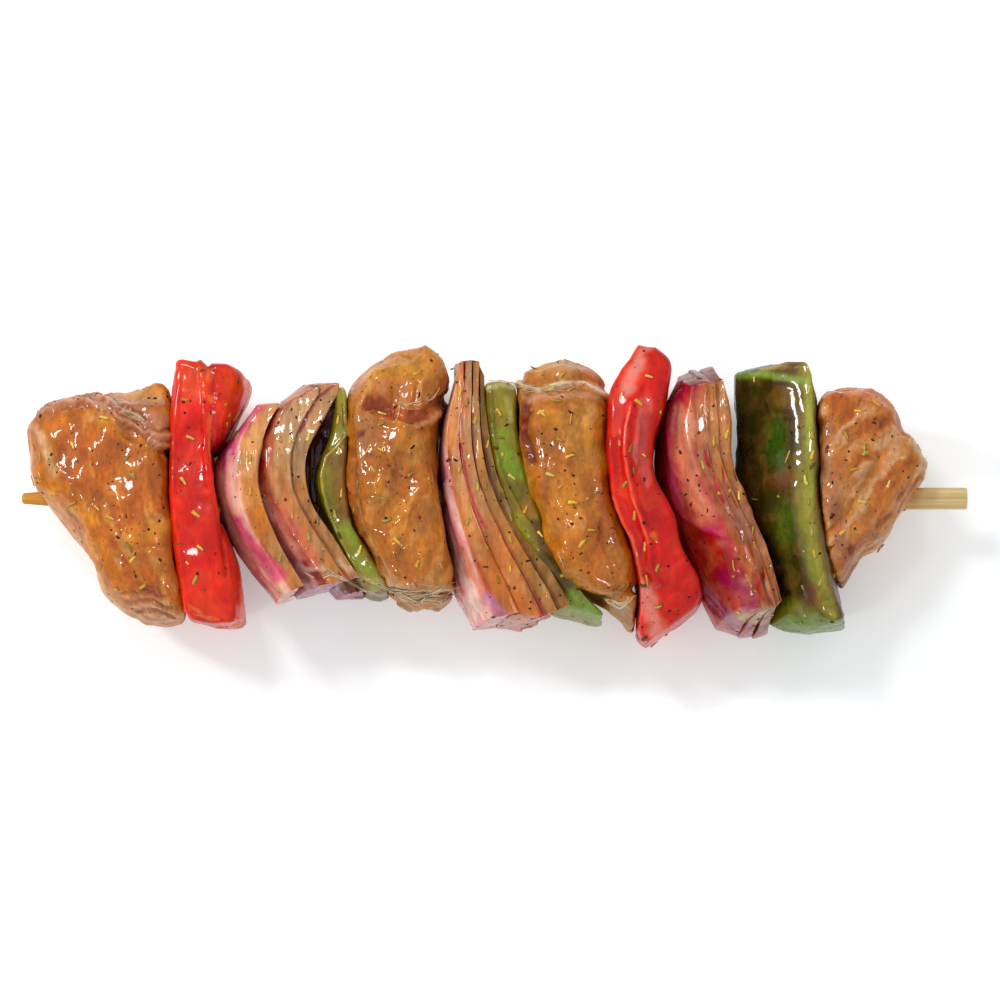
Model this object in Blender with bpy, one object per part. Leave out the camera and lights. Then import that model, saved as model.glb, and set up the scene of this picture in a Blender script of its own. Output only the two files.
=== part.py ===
"""Chicken kebab on a bamboo stick: chicken chunks, pepper slabs and onion petals.

Millimetres in the numbers, metres in the meshes. X runs along the stick, its
point at the negative end. Z is up and the food rests on the floor at z = 0.
"""

import math
import random

import bmesh
import bpy
import numpy as np
from mathutils import Vector

MM = 0.001

# Stick: an eight inch bamboo stick, tapered at the left end
STICK_LENGTH = 203.2
STICK_RADIUS = 2.38
STICK_HEIGHT = 18.0
STICK_SIDES = 12
POINT_RADIUS = 1.15
POINT_LENGTH = 15.0
SAWN_EDGE = 0.35
BORE_CLEARANCE = 0.3

# Food: shared sizes
FOOD_HEIGHT = 36.0
HALF_GAP = 0.22
SHOULDER = 0.55
CHICKEN_ROUNDING = 4.2
PEPPER_ROUNDING = 1.4
ONION_ROUNDING = 0.75
CHICKEN_LUMP = 0.7
FLAKE_LENGTH = 1.9
FLAKE_WIDTH = 0.75
FLAKE_THICKNESS = 0.8

# Sides of the pieces, left to right along the stick.
# Each row is y, x at the top edge, and how far the side swells to +X at half height.
CHICKEN_1_LEFT = [(-26, -77.5, -1.5), (-19.5, -82.5, -1), (-12.5, -86, -1), (-4.5, -92, -1),
                  (2, -96, -0.5), (10, -99.3, -1), (17.5, -99.5, -1)]
CHICKEN_1_RIGHT = [(-28.5, -65, 0), (-16.5, -68, 0), (2, -69.5, 0), (13, -69.3, 0), (26, -68.3, 0)]
RED_1_RIGHT = [(-29.5, -56, 2.5), (-14.5, -58, 3), (-7.5, -59.2, 1.5), (2, -60.3, -0.7),
               (7, -60.3, 0), (12.5, -60.1, 3), (18, -60.1, 6), (23, -60.1, 8), (27, -60, 7.5)]
ONION_1A_LEFT = [(-22.5, -42.5, -4.5), (-11, -50, -5.4), (2, -54.1, -5.9), (7, -54.1, -5.5),
                 (12.5, -53, -3.4), (19, -49.6, -1.5)]
ONION_1A_RIGHT = [(-22.5, -39.2, -3.4), (-11, -45.9, -5.2), (2, -50.2, -6.3), (7, -50, -5.8),
                  (13, -48.3, -4), (19, -45.5, -2.5)]
ONION_1B_LEFT = [(-22.5, -33.2, -8.4), (-10, -41.8, -8.6), (0, -46.8, -8.5), (7.5, -47.8, -7.3),
                 (16, -45.7, -4), (20.5, -42.7, -3)]
ONION_1C_RIGHT = [(-22, -26, -7.7), (-15, -31, -8.6), (-10, -34.3, -9), (-5, -37.8, -9.4),
                  (3.5, -40.1, -9.6), (11, -38.6, -8.6), (16, -35.8, -7), (21, -33, -6)]
GREEN_1_LEFT = [(-23, -25, -1.3), (-13.5, -31.7, -1.5), (-5, -35.4, -1.5), (3, -37.3, -1.5),
                (8, -36.2, -1.5), (12, -34.9, -1), (22.5, -33.6, -0.5)]
GREEN_1_RIGHT = [(-23, -20.7, -0.4), (-13.5, -26.8, -0.3), (-6.8, -30, 0), (0, -31.3, 0),
                 (12.6, -31.3, 0), (22.5, -32, 0)]
CHICKEN_2_RIGHT = [(-24, -8.1, 0), (-17.5, -8.7, 0), (-6.5, -11.3, 0), (0, -12, 0),
                   (11.5, -12.4, 0), (21, -10.4, 0), (27.5, -9.1, 0)]
ONION_2_LEFT = [(-28, 2.5, -5), (-19.5, -1.8, -5), (-10, -6.1, -3.6), (0, -8.8, -2.6),
                (11, -10.1, -1.8), (25, -7.8, -1)]
ONION_2_RIGHT = [(-28, 18.4, -5), (-16, 11.5, -4), (-8, 5.9, -3.2), (2, 1.2, -2), (14.5, -1.2, -1.3),
                 (22.5, -2, -0.6)]
GREEN_2_RIGHT = [(-29, 25.3, -1.5), (-21, 17.3, -1.5), (-14.5, 13.2, -1.2), (-3.5, 9.6, -1),
                 (5, 6.6, -0.6), (21.5, 4.7, 0)]
CHICKEN_3_RIGHT = [(-29, 31, -0.5), (-17.5, 30.8, -0.7), (-9.5, 28.6, -0.8), (-2, 25.1, -0.5),
                   (6.5, 24, 0), (20, 24.1, 0), (26, 23.4, 0.5)]
RED_2_RIGHT = [(-33, 37, 0), (-24, 44, 0.5), (-19, 43.2, 0.5), (-14, 40.3, 0.8), (-5, 38.2, 0),
               (2, 34.5, 0.3), (9, 33.9, 0.4), (21, 36.7, 0.6), (28, 38, 0)]
ONION_3_LEFT = [(-29, 58, -9), (-19, 54.9, -10.8), (-7.5, 49.8, -10), (1, 45.6, -10),
                (8, 42.7, -7.8), (18, 42, -5), (25.5, 43.5, -4)]
ONION_3_RIGHT = [(-29, 62.7, -4), (-20.5, 60.7, -3.5), (-11.5, 57.9, -4.5), (-3, 54.1, -4.8),
                 (5.5, 51.1, -4.2), (18, 50.2, -3.2), (24, 48.9, -2.5)]
GREEN_3_LEFT = [(-29.5, 70.8, -11.6), (-19, 68, -9.8), (-7, 65.5, -12.2), (0.5, 65, -13.4),
                (11.5, 66.3, -14.2), (25.5, 65.5, -13.8)]
GREEN_3_RIGHT = [(-29.5, 74.5, 1), (-16.5, 70.4, 2.5), (-4.5, 68.4, 2.4), (8, 68.6, 0.8),
                 (25.5, 68.3, 0.5)]
CHICKEN_4_RIGHT = [(-13, 82.7, 0), (-3.5, 87, 0), (2, 90.2, 0.3), (5.5, 91.7, 0.6), (9.5, 90.6, 0.6),
                   (14.5, 87.8, 0.3), (20, 86.5, 0.3)]


def along(rows, y, column):
    """Value of a column at y, on a smooth curve through the rows."""
    ys = np.array([row[0] for row in rows], float)
    vs = np.array([row[column] for row in rows], float)
    slopes = np.gradient(vs, ys)
    y = min(max(y, ys[0]), ys[-1])
    i = min(int(np.searchsorted(ys, y, side="right")) - 1, len(ys) - 2)
    span = ys[i + 1] - ys[i]
    t = (y - ys[i]) / span
    start = (1 + 2 * t) * (1 - t) ** 2 * vs[i] + t * (1 - t) ** 2 * span * slopes[i]
    end = t * t * (3 - 2 * t) * vs[i + 1] - t * t * (1 - t) * span * slopes[i + 1]
    return start + end


def swell(z):
    """Side profile from the top edge to the floor: none, full at half height, part at the foot."""
    t = max(FOOD_HEIGHT - z, 0) / FOOD_HEIGHT
    if t < 0.5:
        return (1 - (2 * t - 1) ** 2) ** SHOULDER
    return 1 - 0.6 * (2 * t - 1) ** 2


def side(rows, y, z):
    """X of a piece's side at y and z."""
    return along(rows, y, 1) + along(rows, y, 2) * swell(z)


def layer_side(left, right, share):
    """Rows for a boundary that lies between two sides, at a share of the way across."""
    ys = np.linspace(max(left[0][0], right[0][0]), min(left[-1][0], right[-1][0]), 7)
    return [tuple([y] + [along(left, y, c) * (1 - share) + along(right, y, c) * share for c in (1, 2)])
            for y in ys]


def moved(rows, step):
    """Rows of a side that is moved along X."""
    return [(y, x + step, belly) for y, x, belly in rows]


def ripple(x, y, seed):
    """Slow uneven wave between about -1 and 1, for the lumps of the chicken."""
    a = math.sin(0.31 * x + 0.17 * y + seed) * math.sin(0.11 * x - 0.37 * y + 2.1 * seed)
    b = math.sin(0.57 * x - 0.29 * y + 1.7 * seed)
    return 0.75 * a + 0.4 * b


class Piece:
    """A piece of food as a rounded block, bent between two sides and two ends."""

    def __init__(self, left, right, front, back, height, rounding, tilt=0.0, crown=0.0,
                 end_swell=0.0, tuck=0.0, lift=0.0, free_left=0.0, free_right=0.0, lump=0.0,
                 seed=0.0):
        self.left = left
        self.right = right
        self.front = front
        self.back = back
        self.height = height
        self.rounding = rounding
        self.tilt = tilt
        self.crown = crown
        self.end_swell = end_swell
        self.lump = lump
        self.seed = seed
        self.tuck = tuck
        self.lift = lift
        self.free_left = free_left
        self.free_right = free_right
        y_mid = (np.mean(front) + np.mean(back)) / 2
        width = along(right, y_mid, 1) - along(left, y_mid, 1)
        length = np.mean(back) - np.mean(front)
        self.half = np.array([width / 2, length / 2, along(height, y_mid, 1) / 2])

    def point(self, u, s, w):
        """Place of a point of the block; u goes across, s to the back and w up, from -1 to 1."""
        flat = np.array([u, s, w]) * self.half
        rounding = min(self.rounding, 0.95 * self.half.min())
        inner = self.half - rounding
        core = np.clip(flat, -inner, inner)
        offset = flat - core
        reach = np.linalg.norm(offset)
        if reach > 1e-9:
            flat = core + offset * (rounding / reach)
        u, s, w = flat / self.half
        knots = np.linspace(-1, 1, len(self.front))
        near = np.interp(u, knots, self.front)
        knots = np.linspace(-1, 1, len(self.back))
        far = np.interp(u, knots, self.back)
        y = near + (far - near) * (s + 1) / 2
        y += s * (self.end_swell * (1 - w * w) - self.tuck * max(-w, 0) ** 2)
        rise = (w + 1) / 2
        foot = self.lift * s ** 4
        z = foot + rise * (along(self.height, y, 1) + self.tilt * u + self.crown * (1 - u * u) - foot)
        under = max(-w, 0) ** 2
        x_left = side(self.left, y, z) + HALF_GAP + self.free_left * under
        x_right = side(self.right, y, z) - HALF_GAP - self.free_right * under
        x = x_left + (x_right - x_left) * (u + 1) / 2
        z += rise * self.lump * ripple(x, y, self.seed)
        y += 0.8 * self.lump * ripple(z + 9, x, self.seed) * abs(s) ** 6
        return x, y, max(z, 0.0)


PIECES = {
    "chicken_1": ("raw_chicken", (3, 6, 3), 9, Piece(
        CHICKEN_1_LEFT, CHICKEN_1_RIGHT, [-22.5, -25.3, -25.8, -25.6], [16.5, 18.8, 22, 24],
        [(-27, 31), (-10, 34), (8, 34.5), (22, 32)], CHICKEN_ROUNDING, tilt=3, crown=1.2,
        end_swell=1.5, tuck=4, lift=3, free_left=9, lump=CHICKEN_LUMP, seed=1.0)),
    "red_pepper_1": ("red_pepper", (1, 7, 3), 6, Piece(
        CHICKEN_1_RIGHT, RED_1_RIGHT, [-27.6, -28.8, -28.8], [28.5, 27.6, 26.6],
        [(-28, 35), (0, 36.6), (27, 36)], PEPPER_ROUNDING, tilt=0.8,
        end_swell=-1, tuck=4, lift=3)),
    "onion_1_outer": ("red_onion", (1, 7, 4), 3, Piece(
        ONION_1A_LEFT, ONION_1A_RIGHT, [-21.8, -20.6], [18, 18.5],
        [(-21, 33.5), (0, 36.5), (18, 34)], ONION_ROUNDING, end_swell=1.2,
        tuck=4, lift=4)),
    "onion_1_middle": ("red_onion", (1, 7, 4), 4, Piece(
        ONION_1B_LEFT, layer_side(ONION_1B_LEFT, ONION_1C_RIGHT, 0.58), [-20.4, -19.6], [20.5, 22.5],
        [(-20, 33), (0, 35.5), (20, 34)], ONION_ROUNDING, end_swell=1.2,
        tuck=4, lift=4)),
    "onion_1_inner": ("red_onion", (1, 7, 4), 3, Piece(
        layer_side(ONION_1B_LEFT, ONION_1C_RIGHT, 0.58), ONION_1C_RIGHT, [-19.6, -18.8], [22.5, 23],
        [(-20, 33), (0, 35.5), (20, 34)], ONION_ROUNDING, end_swell=1.2,
        tuck=4, lift=4)),
    "onion_1_core": ("red_onion", (2, 7, 4), 2, Piece(
        moved(ONION_1C_RIGHT, 0.4), moved(GREEN_1_LEFT, -0.3), [-20.5, -20], [20.5, 21],
        [(-21, 22), (-15, 22), (0, 22.5), (12, 23.5), (20, 26)], ONION_ROUNDING, end_swell=1,
        tuck=4, lift=4)),
    "green_pepper_1": ("green_pepper", (1, 7, 3), 5, Piece(
        GREEN_1_LEFT, GREEN_1_RIGHT, [-20.5, -21, -20.5], [22, 22, 21.5],
        [(-21, 31), (0, 34), (22, 34)], PEPPER_ROUNDING, tilt=0.6,
        end_swell=1, tuck=3, lift=3)),
    "chicken_2": ("raw_chicken", (3, 6, 3), 10, Piece(
        GREEN_1_RIGHT, CHICKEN_2_RIGHT, [-21.5, -22, -21.5, -19.5], [21.5, 25.5, 28.5, 30.5, 26],
        [(-22, 35), (-5, 38), (12, 38), (29, 35)], CHICKEN_ROUNDING, crown=1,
        end_swell=2, tuck=3.5, lift=3, lump=CHICKEN_LUMP, seed=2.3)),
    "onion_2_layer_1": ("red_onion", (1, 7, 4), 4, Piece(
        ONION_2_LEFT, layer_side(ONION_2_LEFT, ONION_2_RIGHT, 0.3), [-27.2, -27.4], [27.2, 27.6],
        [(-26, 33), (0, 36), (26, 34)], ONION_ROUNDING, end_swell=1.2,
        tuck=4, lift=4)),
    "onion_2_layer_2": ("red_onion", (1, 7, 4), 3, Piece(
        layer_side(ONION_2_LEFT, ONION_2_RIGHT, 0.3), layer_side(ONION_2_LEFT, ONION_2_RIGHT, 0.58),
        [-27.4, -27.4], [27.6, 27.6], [(-26, 32.5), (0, 36), (26, 34)], ONION_ROUNDING,
        end_swell=1.2, tuck=4, lift=4)),
    "onion_2_layer_3": ("red_onion", (1, 7, 4), 3, Piece(
        layer_side(ONION_2_LEFT, ONION_2_RIGHT, 0.58), layer_side(ONION_2_LEFT, ONION_2_RIGHT, 0.8),
        [-27.2, -26], [27.6, 25], [(-26, 32.2), (0, 35.5), (26, 33.5)], ONION_ROUNDING,
        end_swell=1, tuck=4, lift=4)),
    "onion_2_layer_4": ("red_onion", (1, 7, 4), 2, Piece(
        layer_side(ONION_2_LEFT, ONION_2_RIGHT, 0.8), ONION_2_RIGHT,
        [-25.6, -24.6], [24, 23.5], [(-26, 31), (0, 34.5), (26, 32.5)], ONION_ROUNDING,
        end_swell=0.8, tuck=4, lift=4)),
    "green_pepper_2": ("green_pepper", (1, 7, 3), 6, Piece(
        ONION_2_RIGHT, GREEN_2_RIGHT, [-24, -26.6, -27.6], [23.2, 23.6, 22.8],
        [(-26, 28), (-14, 33), (0, 34), (22, 33.5)], PEPPER_ROUNDING, tilt=-0.6,
        end_swell=1, tuck=3, lift=3)),
    "chicken_3": ("raw_chicken", (3, 6, 3), 9, Piece(
        GREEN_2_RIGHT, CHICKEN_3_RIGHT, [-19.5, -22.6, -26.2, -27.6], [24.5, 27, 27.4, 27, 25],
        [(-27, 33), (-10, 37), (12, 37.5), (19, 36), (23, 31.5), (28, 30)], CHICKEN_ROUNDING,
        crown=0.8, end_swell=2, tuck=3.5, lift=3, lump=CHICKEN_LUMP, seed=4.1)),
    "red_pepper_2": ("red_pepper", (2, 8, 3), 8, Piece(
        CHICKEN_3_RIGHT, RED_2_RIGHT, [-29.5, -31.6, -31, -28, -23.6], [20.5, 26, 31, 30.6, 27.6],
        [(-31, 29), (-20, 36), (0, 38), (20, 37), (30, 34)], PEPPER_ROUNDING, crown=1,
        end_swell=-0.5, tuck=3, lift=3)),
    "onion_3_layer_1": ("red_onion", (1, 7, 4), 5, Piece(
        ONION_3_LEFT, layer_side(ONION_3_LEFT, ONION_3_RIGHT, 0.4), [-25.5, -25.5], [22.4, 24],
        [(-27, 31), (0, 35.5), (25, 34.5)], ONION_ROUNDING, end_swell=4,
        tuck=4, lift=2)),
    "onion_3_layer_2": ("red_onion", (1, 7, 4), 3, Piece(
        layer_side(ONION_3_LEFT, ONION_3_RIGHT, 0.4), layer_side(ONION_3_LEFT, ONION_3_RIGHT, 0.7),
        [-25.5, -25], [24, 24.2], [(-27, 31), (0, 35.8), (25, 34.5)], ONION_ROUNDING,
        end_swell=4.5, tuck=4, lift=2)),
    "onion_3_layer_3": ("red_onion", (1, 7, 4), 3, Piece(
        layer_side(ONION_3_LEFT, ONION_3_RIGHT, 0.7), ONION_3_RIGHT,
        [-25, -23.8], [24.2, 23], [(-27, 31), (0, 35.5), (25, 34)], ONION_ROUNDING,
        end_swell=5, tuck=4, lift=2)),
    "green_pepper_3": ("green_pepper", (3, 7, 3), 8, Piece(
        GREEN_3_LEFT, GREEN_3_RIGHT, [-27.2, -28.5, -28], [27, 27.4, 24],
        [(-29, 35), (0, 37), (26, 36)], PEPPER_ROUNDING, tilt=0.2,
        end_swell=1, tuck=3, lift=3)),
    "chicken_4": ("raw_chicken", (3, 5, 3), 7, Piece(
        GREEN_3_RIGHT, CHICKEN_4_RIGHT, [-19.5, -16, -12.5, -9.5], [20.5, 21.8, 21.4, 18],
        [(-20, 31), (0, 34), (21, 33)], CHICKEN_ROUNDING, tilt=-2.5, crown=1.2,
        end_swell=1.5, tuck=4, lift=3, free_right=6, lump=CHICKEN_LUMP, seed=5.6)),
}

COLOURS = {
    "bamboo": (0.62, 0.42, 0.17, 1),
    "raw_chicken": (0.52, 0.19, 0.045, 1),
    "red_pepper": (0.66, 0.035, 0.012, 1),
    "green_pepper": (0.24, 0.26, 0.035, 1),
    "red_onion": (0.55, 0.21, 0.12, 1),
}


def material(name):
    """Plain material of one kind of food or of the stick."""
    found = bpy.data.materials.get(name)
    if found:
        return found
    made = bpy.data.materials.new(name)
    made.use_nodes = True
    shader = made.node_tree.nodes["Principled BSDF"]
    shader.inputs["Base Color"].default_value = COLOURS[name]
    shader.inputs["Roughness"].default_value = 0.75 if name == "bamboo" else 0.3
    return made


def new_object(name, bm, collection, slot=None):
    """Object made from a finished bmesh."""
    bmesh.ops.recalc_face_normals(bm, faces=bm.faces)
    mesh = bpy.data.meshes.new(name)
    bm.to_mesh(mesh)
    bm.free()
    made = bpy.data.objects.new(name, mesh)
    collection.objects.link(made)
    if slot:
        mesh.materials.append(material(slot))
    return made


def cut_box(cuts):
    """Cube from -1 to 1 with extra edge loops at the given places along X, Y and Z."""
    bm = bmesh.new()
    bmesh.ops.create_cube(bm, size=2.0)
    for axis, places in enumerate(cuts):
        for place in places:
            centre = [0.0, 0.0, 0.0]
            normal = [0.0, 0.0, 0.0]
            centre[axis] = place
            normal[axis] = 1.0
            geometry = bm.verts[:] + bm.edges[:] + bm.faces[:]
            bmesh.ops.bisect_plane(bm, geom=geometry, plane_co=centre, plane_no=normal)
    return bm


def food(name, slot, spans, piece, collection):
    """One piece of food as a closed mesh."""
    cuts = []
    for half, count in zip(piece.half, spans):
        edge = 1 - min(piece.rounding, 0.95 * piece.half.min()) / half
        cuts.append(np.linspace(-edge, edge, count + 1))
    bm = cut_box(cuts)
    for vertex in bm.verts:
        vertex.co = [value * MM for value in piece.point(*vertex.co)]
    bmesh.ops.triangulate(bm, faces=bm.faces)
    return new_object(name, bm, collection, slot)


def stick(name, growth, overrun, collection, slot=None):
    """Round stick with its tapered point, or the larger form that cuts its way through the food."""
    start = -STICK_LENGTH / 2
    profile = [(start - overrun, 0.0), (start - overrun, POINT_RADIUS + growth),
               (start + POINT_LENGTH, STICK_RADIUS + growth)]
    if slot:
        profile.append((-start - SAWN_EDGE, STICK_RADIUS))
        profile.append((-start, STICK_RADIUS - SAWN_EDGE))
    else:
        profile.append((-start + overrun, STICK_RADIUS + growth))
    profile.append((profile[-1][0], 0.0))
    bm = bmesh.new()
    verts = [bm.verts.new((x * MM, 0, (STICK_HEIGHT + r) * MM)) for x, r in profile]
    edges = [bm.edges.new(pair) for pair in zip(verts, verts[1:])]
    bmesh.ops.spin(bm, geom=verts + edges, cent=(0, 0, STICK_HEIGHT * MM), axis=(1, 0, 0),
                   angle=math.tau, steps=STICK_SIDES)
    bmesh.ops.remove_doubles(bm, verts=bm.verts, dist=1e-6)
    return new_object(name, bm, collection, slot)


def apply_modifiers(made):
    """Replace an object's mesh by its evaluated one."""
    graph = bpy.context.evaluated_depsgraph_get()
    result = bpy.data.meshes.new_from_object(made.evaluated_get(graph))
    made.modifiers.clear()
    made.data = result


def flakes(made, piece, count, seed):
    """Fuse the larger herb flakes onto the top of a piece."""
    draw = random.Random(seed)
    group = bpy.data.collections.new("flakes")
    bpy.context.scene.collection.children.link(group)
    for number in range(count):
        s = -0.84 + 1.68 * (number + draw.uniform(0.2, 0.8)) / count
        u = draw.uniform(-0.5, 0.5)
        turn = draw.uniform(-1.2, 1.2) if piece.half[0] > 3 else draw.uniform(1.2, 1.9)
        aim = Vector(piece.point(u, s, 1)) * MM
        found, middle, up, face = made.closest_point_on_mesh(aim)
        length = Vector((math.cos(turn), math.sin(turn), 0))
        width = up.cross(length).normalized()
        length = width.cross(up)
        size = draw.uniform(0.8, 1.15)
        bm = bmesh.new()
        bmesh.ops.create_cube(bm, size=1.0)
        for vertex in bm.verts:
            a, b, c = vertex.co
            taper = 1.0 if a < 0 else 0.7
            step = length * a * FLAKE_LENGTH * size + up * c * FLAKE_THICKNESS
            vertex.co = middle + (step + width * b * FLAKE_WIDTH * size * taper) * MM
        bmesh.ops.triangulate(bm, faces=bm.faces)
        new_object("flake", bm, group)
    union = made.modifiers.new("flakes", "BOOLEAN")
    union.operation = "UNION"
    union.operand_type = "COLLECTION"
    union.collection = group
    union.solver = "EXACT"
    apply_modifiers(made)
    for flake in list(group.objects):
        bpy.data.objects.remove(flake)
    bpy.data.collections.remove(group)


for old in list(bpy.data.objects):
    bpy.data.objects.remove(old)

kebab = bpy.data.collections.new("chicken_kebab")
bpy.context.scene.collection.children.link(kebab)
helpers = bpy.data.collections.new("helpers")
bpy.context.scene.collection.children.link(helpers)

# Bamboo stick and the tool that clears its way
stick("skewer", 0.0, 0.0, kebab, "bamboo")
bore = stick("bore", BORE_CLEARANCE, 2.0, helpers)
bore.hide_render = True
bore.display_type = "WIRE"

# Food along the stick
for order, (name, (slot, spans, flake_count, piece)) in enumerate(PIECES.items()):
    made = food(name, slot, spans, piece, kebab)
    cut = made.modifiers.new("bore", "BOOLEAN")
    cut.operation = "DIFFERENCE"
    cut.object = bore
    cut.solver = "EXACT"
    apply_modifiers(made)
    flakes(made, piece, flake_count, 100 + order)
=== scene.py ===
"""Looks of the chicken kebab: marinated chicken, peppers and red onion on a bamboo stick.

Millimetres in the numbers, metres in the meshes. Each piece is a rounded block
bent between its two sides, as in the CAD part, with its own relief and colours.
"""

import math
import random

import bmesh
import bpy
import numpy as np
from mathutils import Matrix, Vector


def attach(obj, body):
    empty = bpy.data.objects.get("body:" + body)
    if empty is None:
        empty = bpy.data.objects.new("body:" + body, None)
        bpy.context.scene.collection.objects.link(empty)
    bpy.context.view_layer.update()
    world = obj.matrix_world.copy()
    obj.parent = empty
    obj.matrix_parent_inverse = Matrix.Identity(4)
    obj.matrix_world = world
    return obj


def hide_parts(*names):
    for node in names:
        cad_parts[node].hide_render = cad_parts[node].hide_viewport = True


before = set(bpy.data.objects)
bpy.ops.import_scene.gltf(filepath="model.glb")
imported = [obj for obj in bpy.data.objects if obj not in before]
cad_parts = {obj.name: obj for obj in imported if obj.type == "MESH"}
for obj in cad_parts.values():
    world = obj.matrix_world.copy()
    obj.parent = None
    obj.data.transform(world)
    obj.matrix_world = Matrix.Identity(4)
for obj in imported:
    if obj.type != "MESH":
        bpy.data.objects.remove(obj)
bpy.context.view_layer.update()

# Bamboo stick
# A straight stick split from a bamboo culm, so its sides are grooved lengthwise.
# Its point is stained yellow by the marinade, and its other end is sawn square.
MM = 0.001
STICK_LENGTH = 203.2
STICK_RADIUS = 2.38
STICK_HEIGHT = 18.0
POINT_RADIUS = 1.15
POINT_LENGTH = 15.0
SAWN_EDGE = 0.35


def linear(colours):
    """Linear colours from colours as seen on a screen."""
    colours = np.clip(np.asarray(colours, float), 0, 1)
    return np.where(colours < 0.04045, colours / 12.92, ((colours + 0.055) / 1.055) ** 2.4)


def noise(points, size, seed):
    """Smooth random value from about -1 to 1 at each point, in lumps of about the given size."""
    table = np.random.default_rng(seed).uniform(-1, 1, (24, 24, 24))
    places = points / size + 100
    base = np.floor(places).astype(int)
    part = places - base
    part = part * part * (3 - 2 * part)
    total = np.zeros(len(points))
    for corner in range(8):
        step = np.array([corner & 1, corner >> 1 & 1, corner >> 2 & 1])
        share = np.prod(np.where(step, part, 1 - part), axis=1)
        i, j, k = ((base + step) % 24).T
        total += share * table[i, j, k]
    return 1.4 * total


def new_mesh(name, points, faces, colours, wet=1.0):
    """Smooth mesh of quads or triangles with a colour and a wetness at each vertex."""
    mesh = bpy.data.meshes.new(name)
    mesh.vertices.add(len(points))
    mesh.vertices.foreach_set("co", (points * MM).astype(np.float32).ravel())
    mesh.loops.add(faces.size)
    mesh.loops.foreach_set("vertex_index", faces.astype(np.int32).ravel())
    mesh.polygons.add(len(faces))
    mesh.polygons.foreach_set("loop_start", np.arange(0, faces.size, faces.shape[1], dtype=np.int32))
    mesh.update(calc_edges=True)
    mesh.shade_smooth()
    if colours is not None:
        paint = mesh.color_attributes.new("paint", "FLOAT_COLOR", "POINT")
        rgba = np.ones((len(points), 4), np.float32)
        seen = linear(colours)
        rgba[:, :3] = np.maximum(0.8 * seen - 0.028, 0.16 * seen)
        rgba[:, 3] = wet
        paint.data.foreach_set("color", rgba.ravel())
    return mesh


def new_object(name, mesh, material):
    """Object of the kebab, which rides on its one body."""
    mesh.materials.append(material)
    made = bpy.data.objects.new(name, mesh)
    bpy.context.scene.collection.objects.link(made)
    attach(made, "root")
    return made


def add_node(tree, kind, inputs=None, **settings):
    """Shader node with its settings and inputs; an input is a value or another node's output."""
    node = tree.nodes.new("ShaderNode" + kind)
    for key, value in settings.items():
        setattr(node, key, value)
    for key, value in (inputs or {}).items():
        if isinstance(value, bpy.types.NodeSocket):
            tree.links.new(value, node.inputs[key])
        else:
            node.inputs[key].default_value = value
    return node


def new_material(name):
    """Material with its node tree and shader."""
    made = bpy.data.materials.new(name)
    made.use_nodes = True
    return made, made.node_tree, made.node_tree.nodes["Principled BSDF"]


def bamboo_material():
    """Straw coloured wood with fine lengthwise fibres."""
    made, tree, shader = new_material("bamboo_wood")
    paint = add_node(tree, "Attribute", attribute_name="paint").outputs["Color"]
    place = add_node(tree, "TexCoord").outputs["Object"]
    along = add_node(tree, "Mapping", {"Vector": place, "Scale": (60, 2600, 2600)}).outputs[0]
    fibre = add_node(tree, "TexNoise", {"Vector": along, "Scale": 1.0, "Detail": 4.0}).outputs[0]
    shade = add_node(tree, "MapRange", {"Value": fibre, "From Min": 0.3, "From Max": 0.7,
                                        "To Min": 0.8, "To Max": 1.12}).outputs[0]
    mixed = add_node(tree, "VectorMath", {0: paint, 1: shade}, operation="MULTIPLY").outputs[0]
    bump = add_node(tree, "Bump", {"Height": fibre, "Strength": 0.5, "Distance": 0.0001})
    rough = add_node(tree, "MapRange", {"Value": fibre, "To Min": 0.5, "To Max": 0.75}).outputs[0]
    tree.links.new(mixed, shader.inputs["Base Color"])
    tree.links.new(bump.outputs[0], shader.inputs["Normal"])
    tree.links.new(rough, shader.inputs["Roughness"])
    return made


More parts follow.
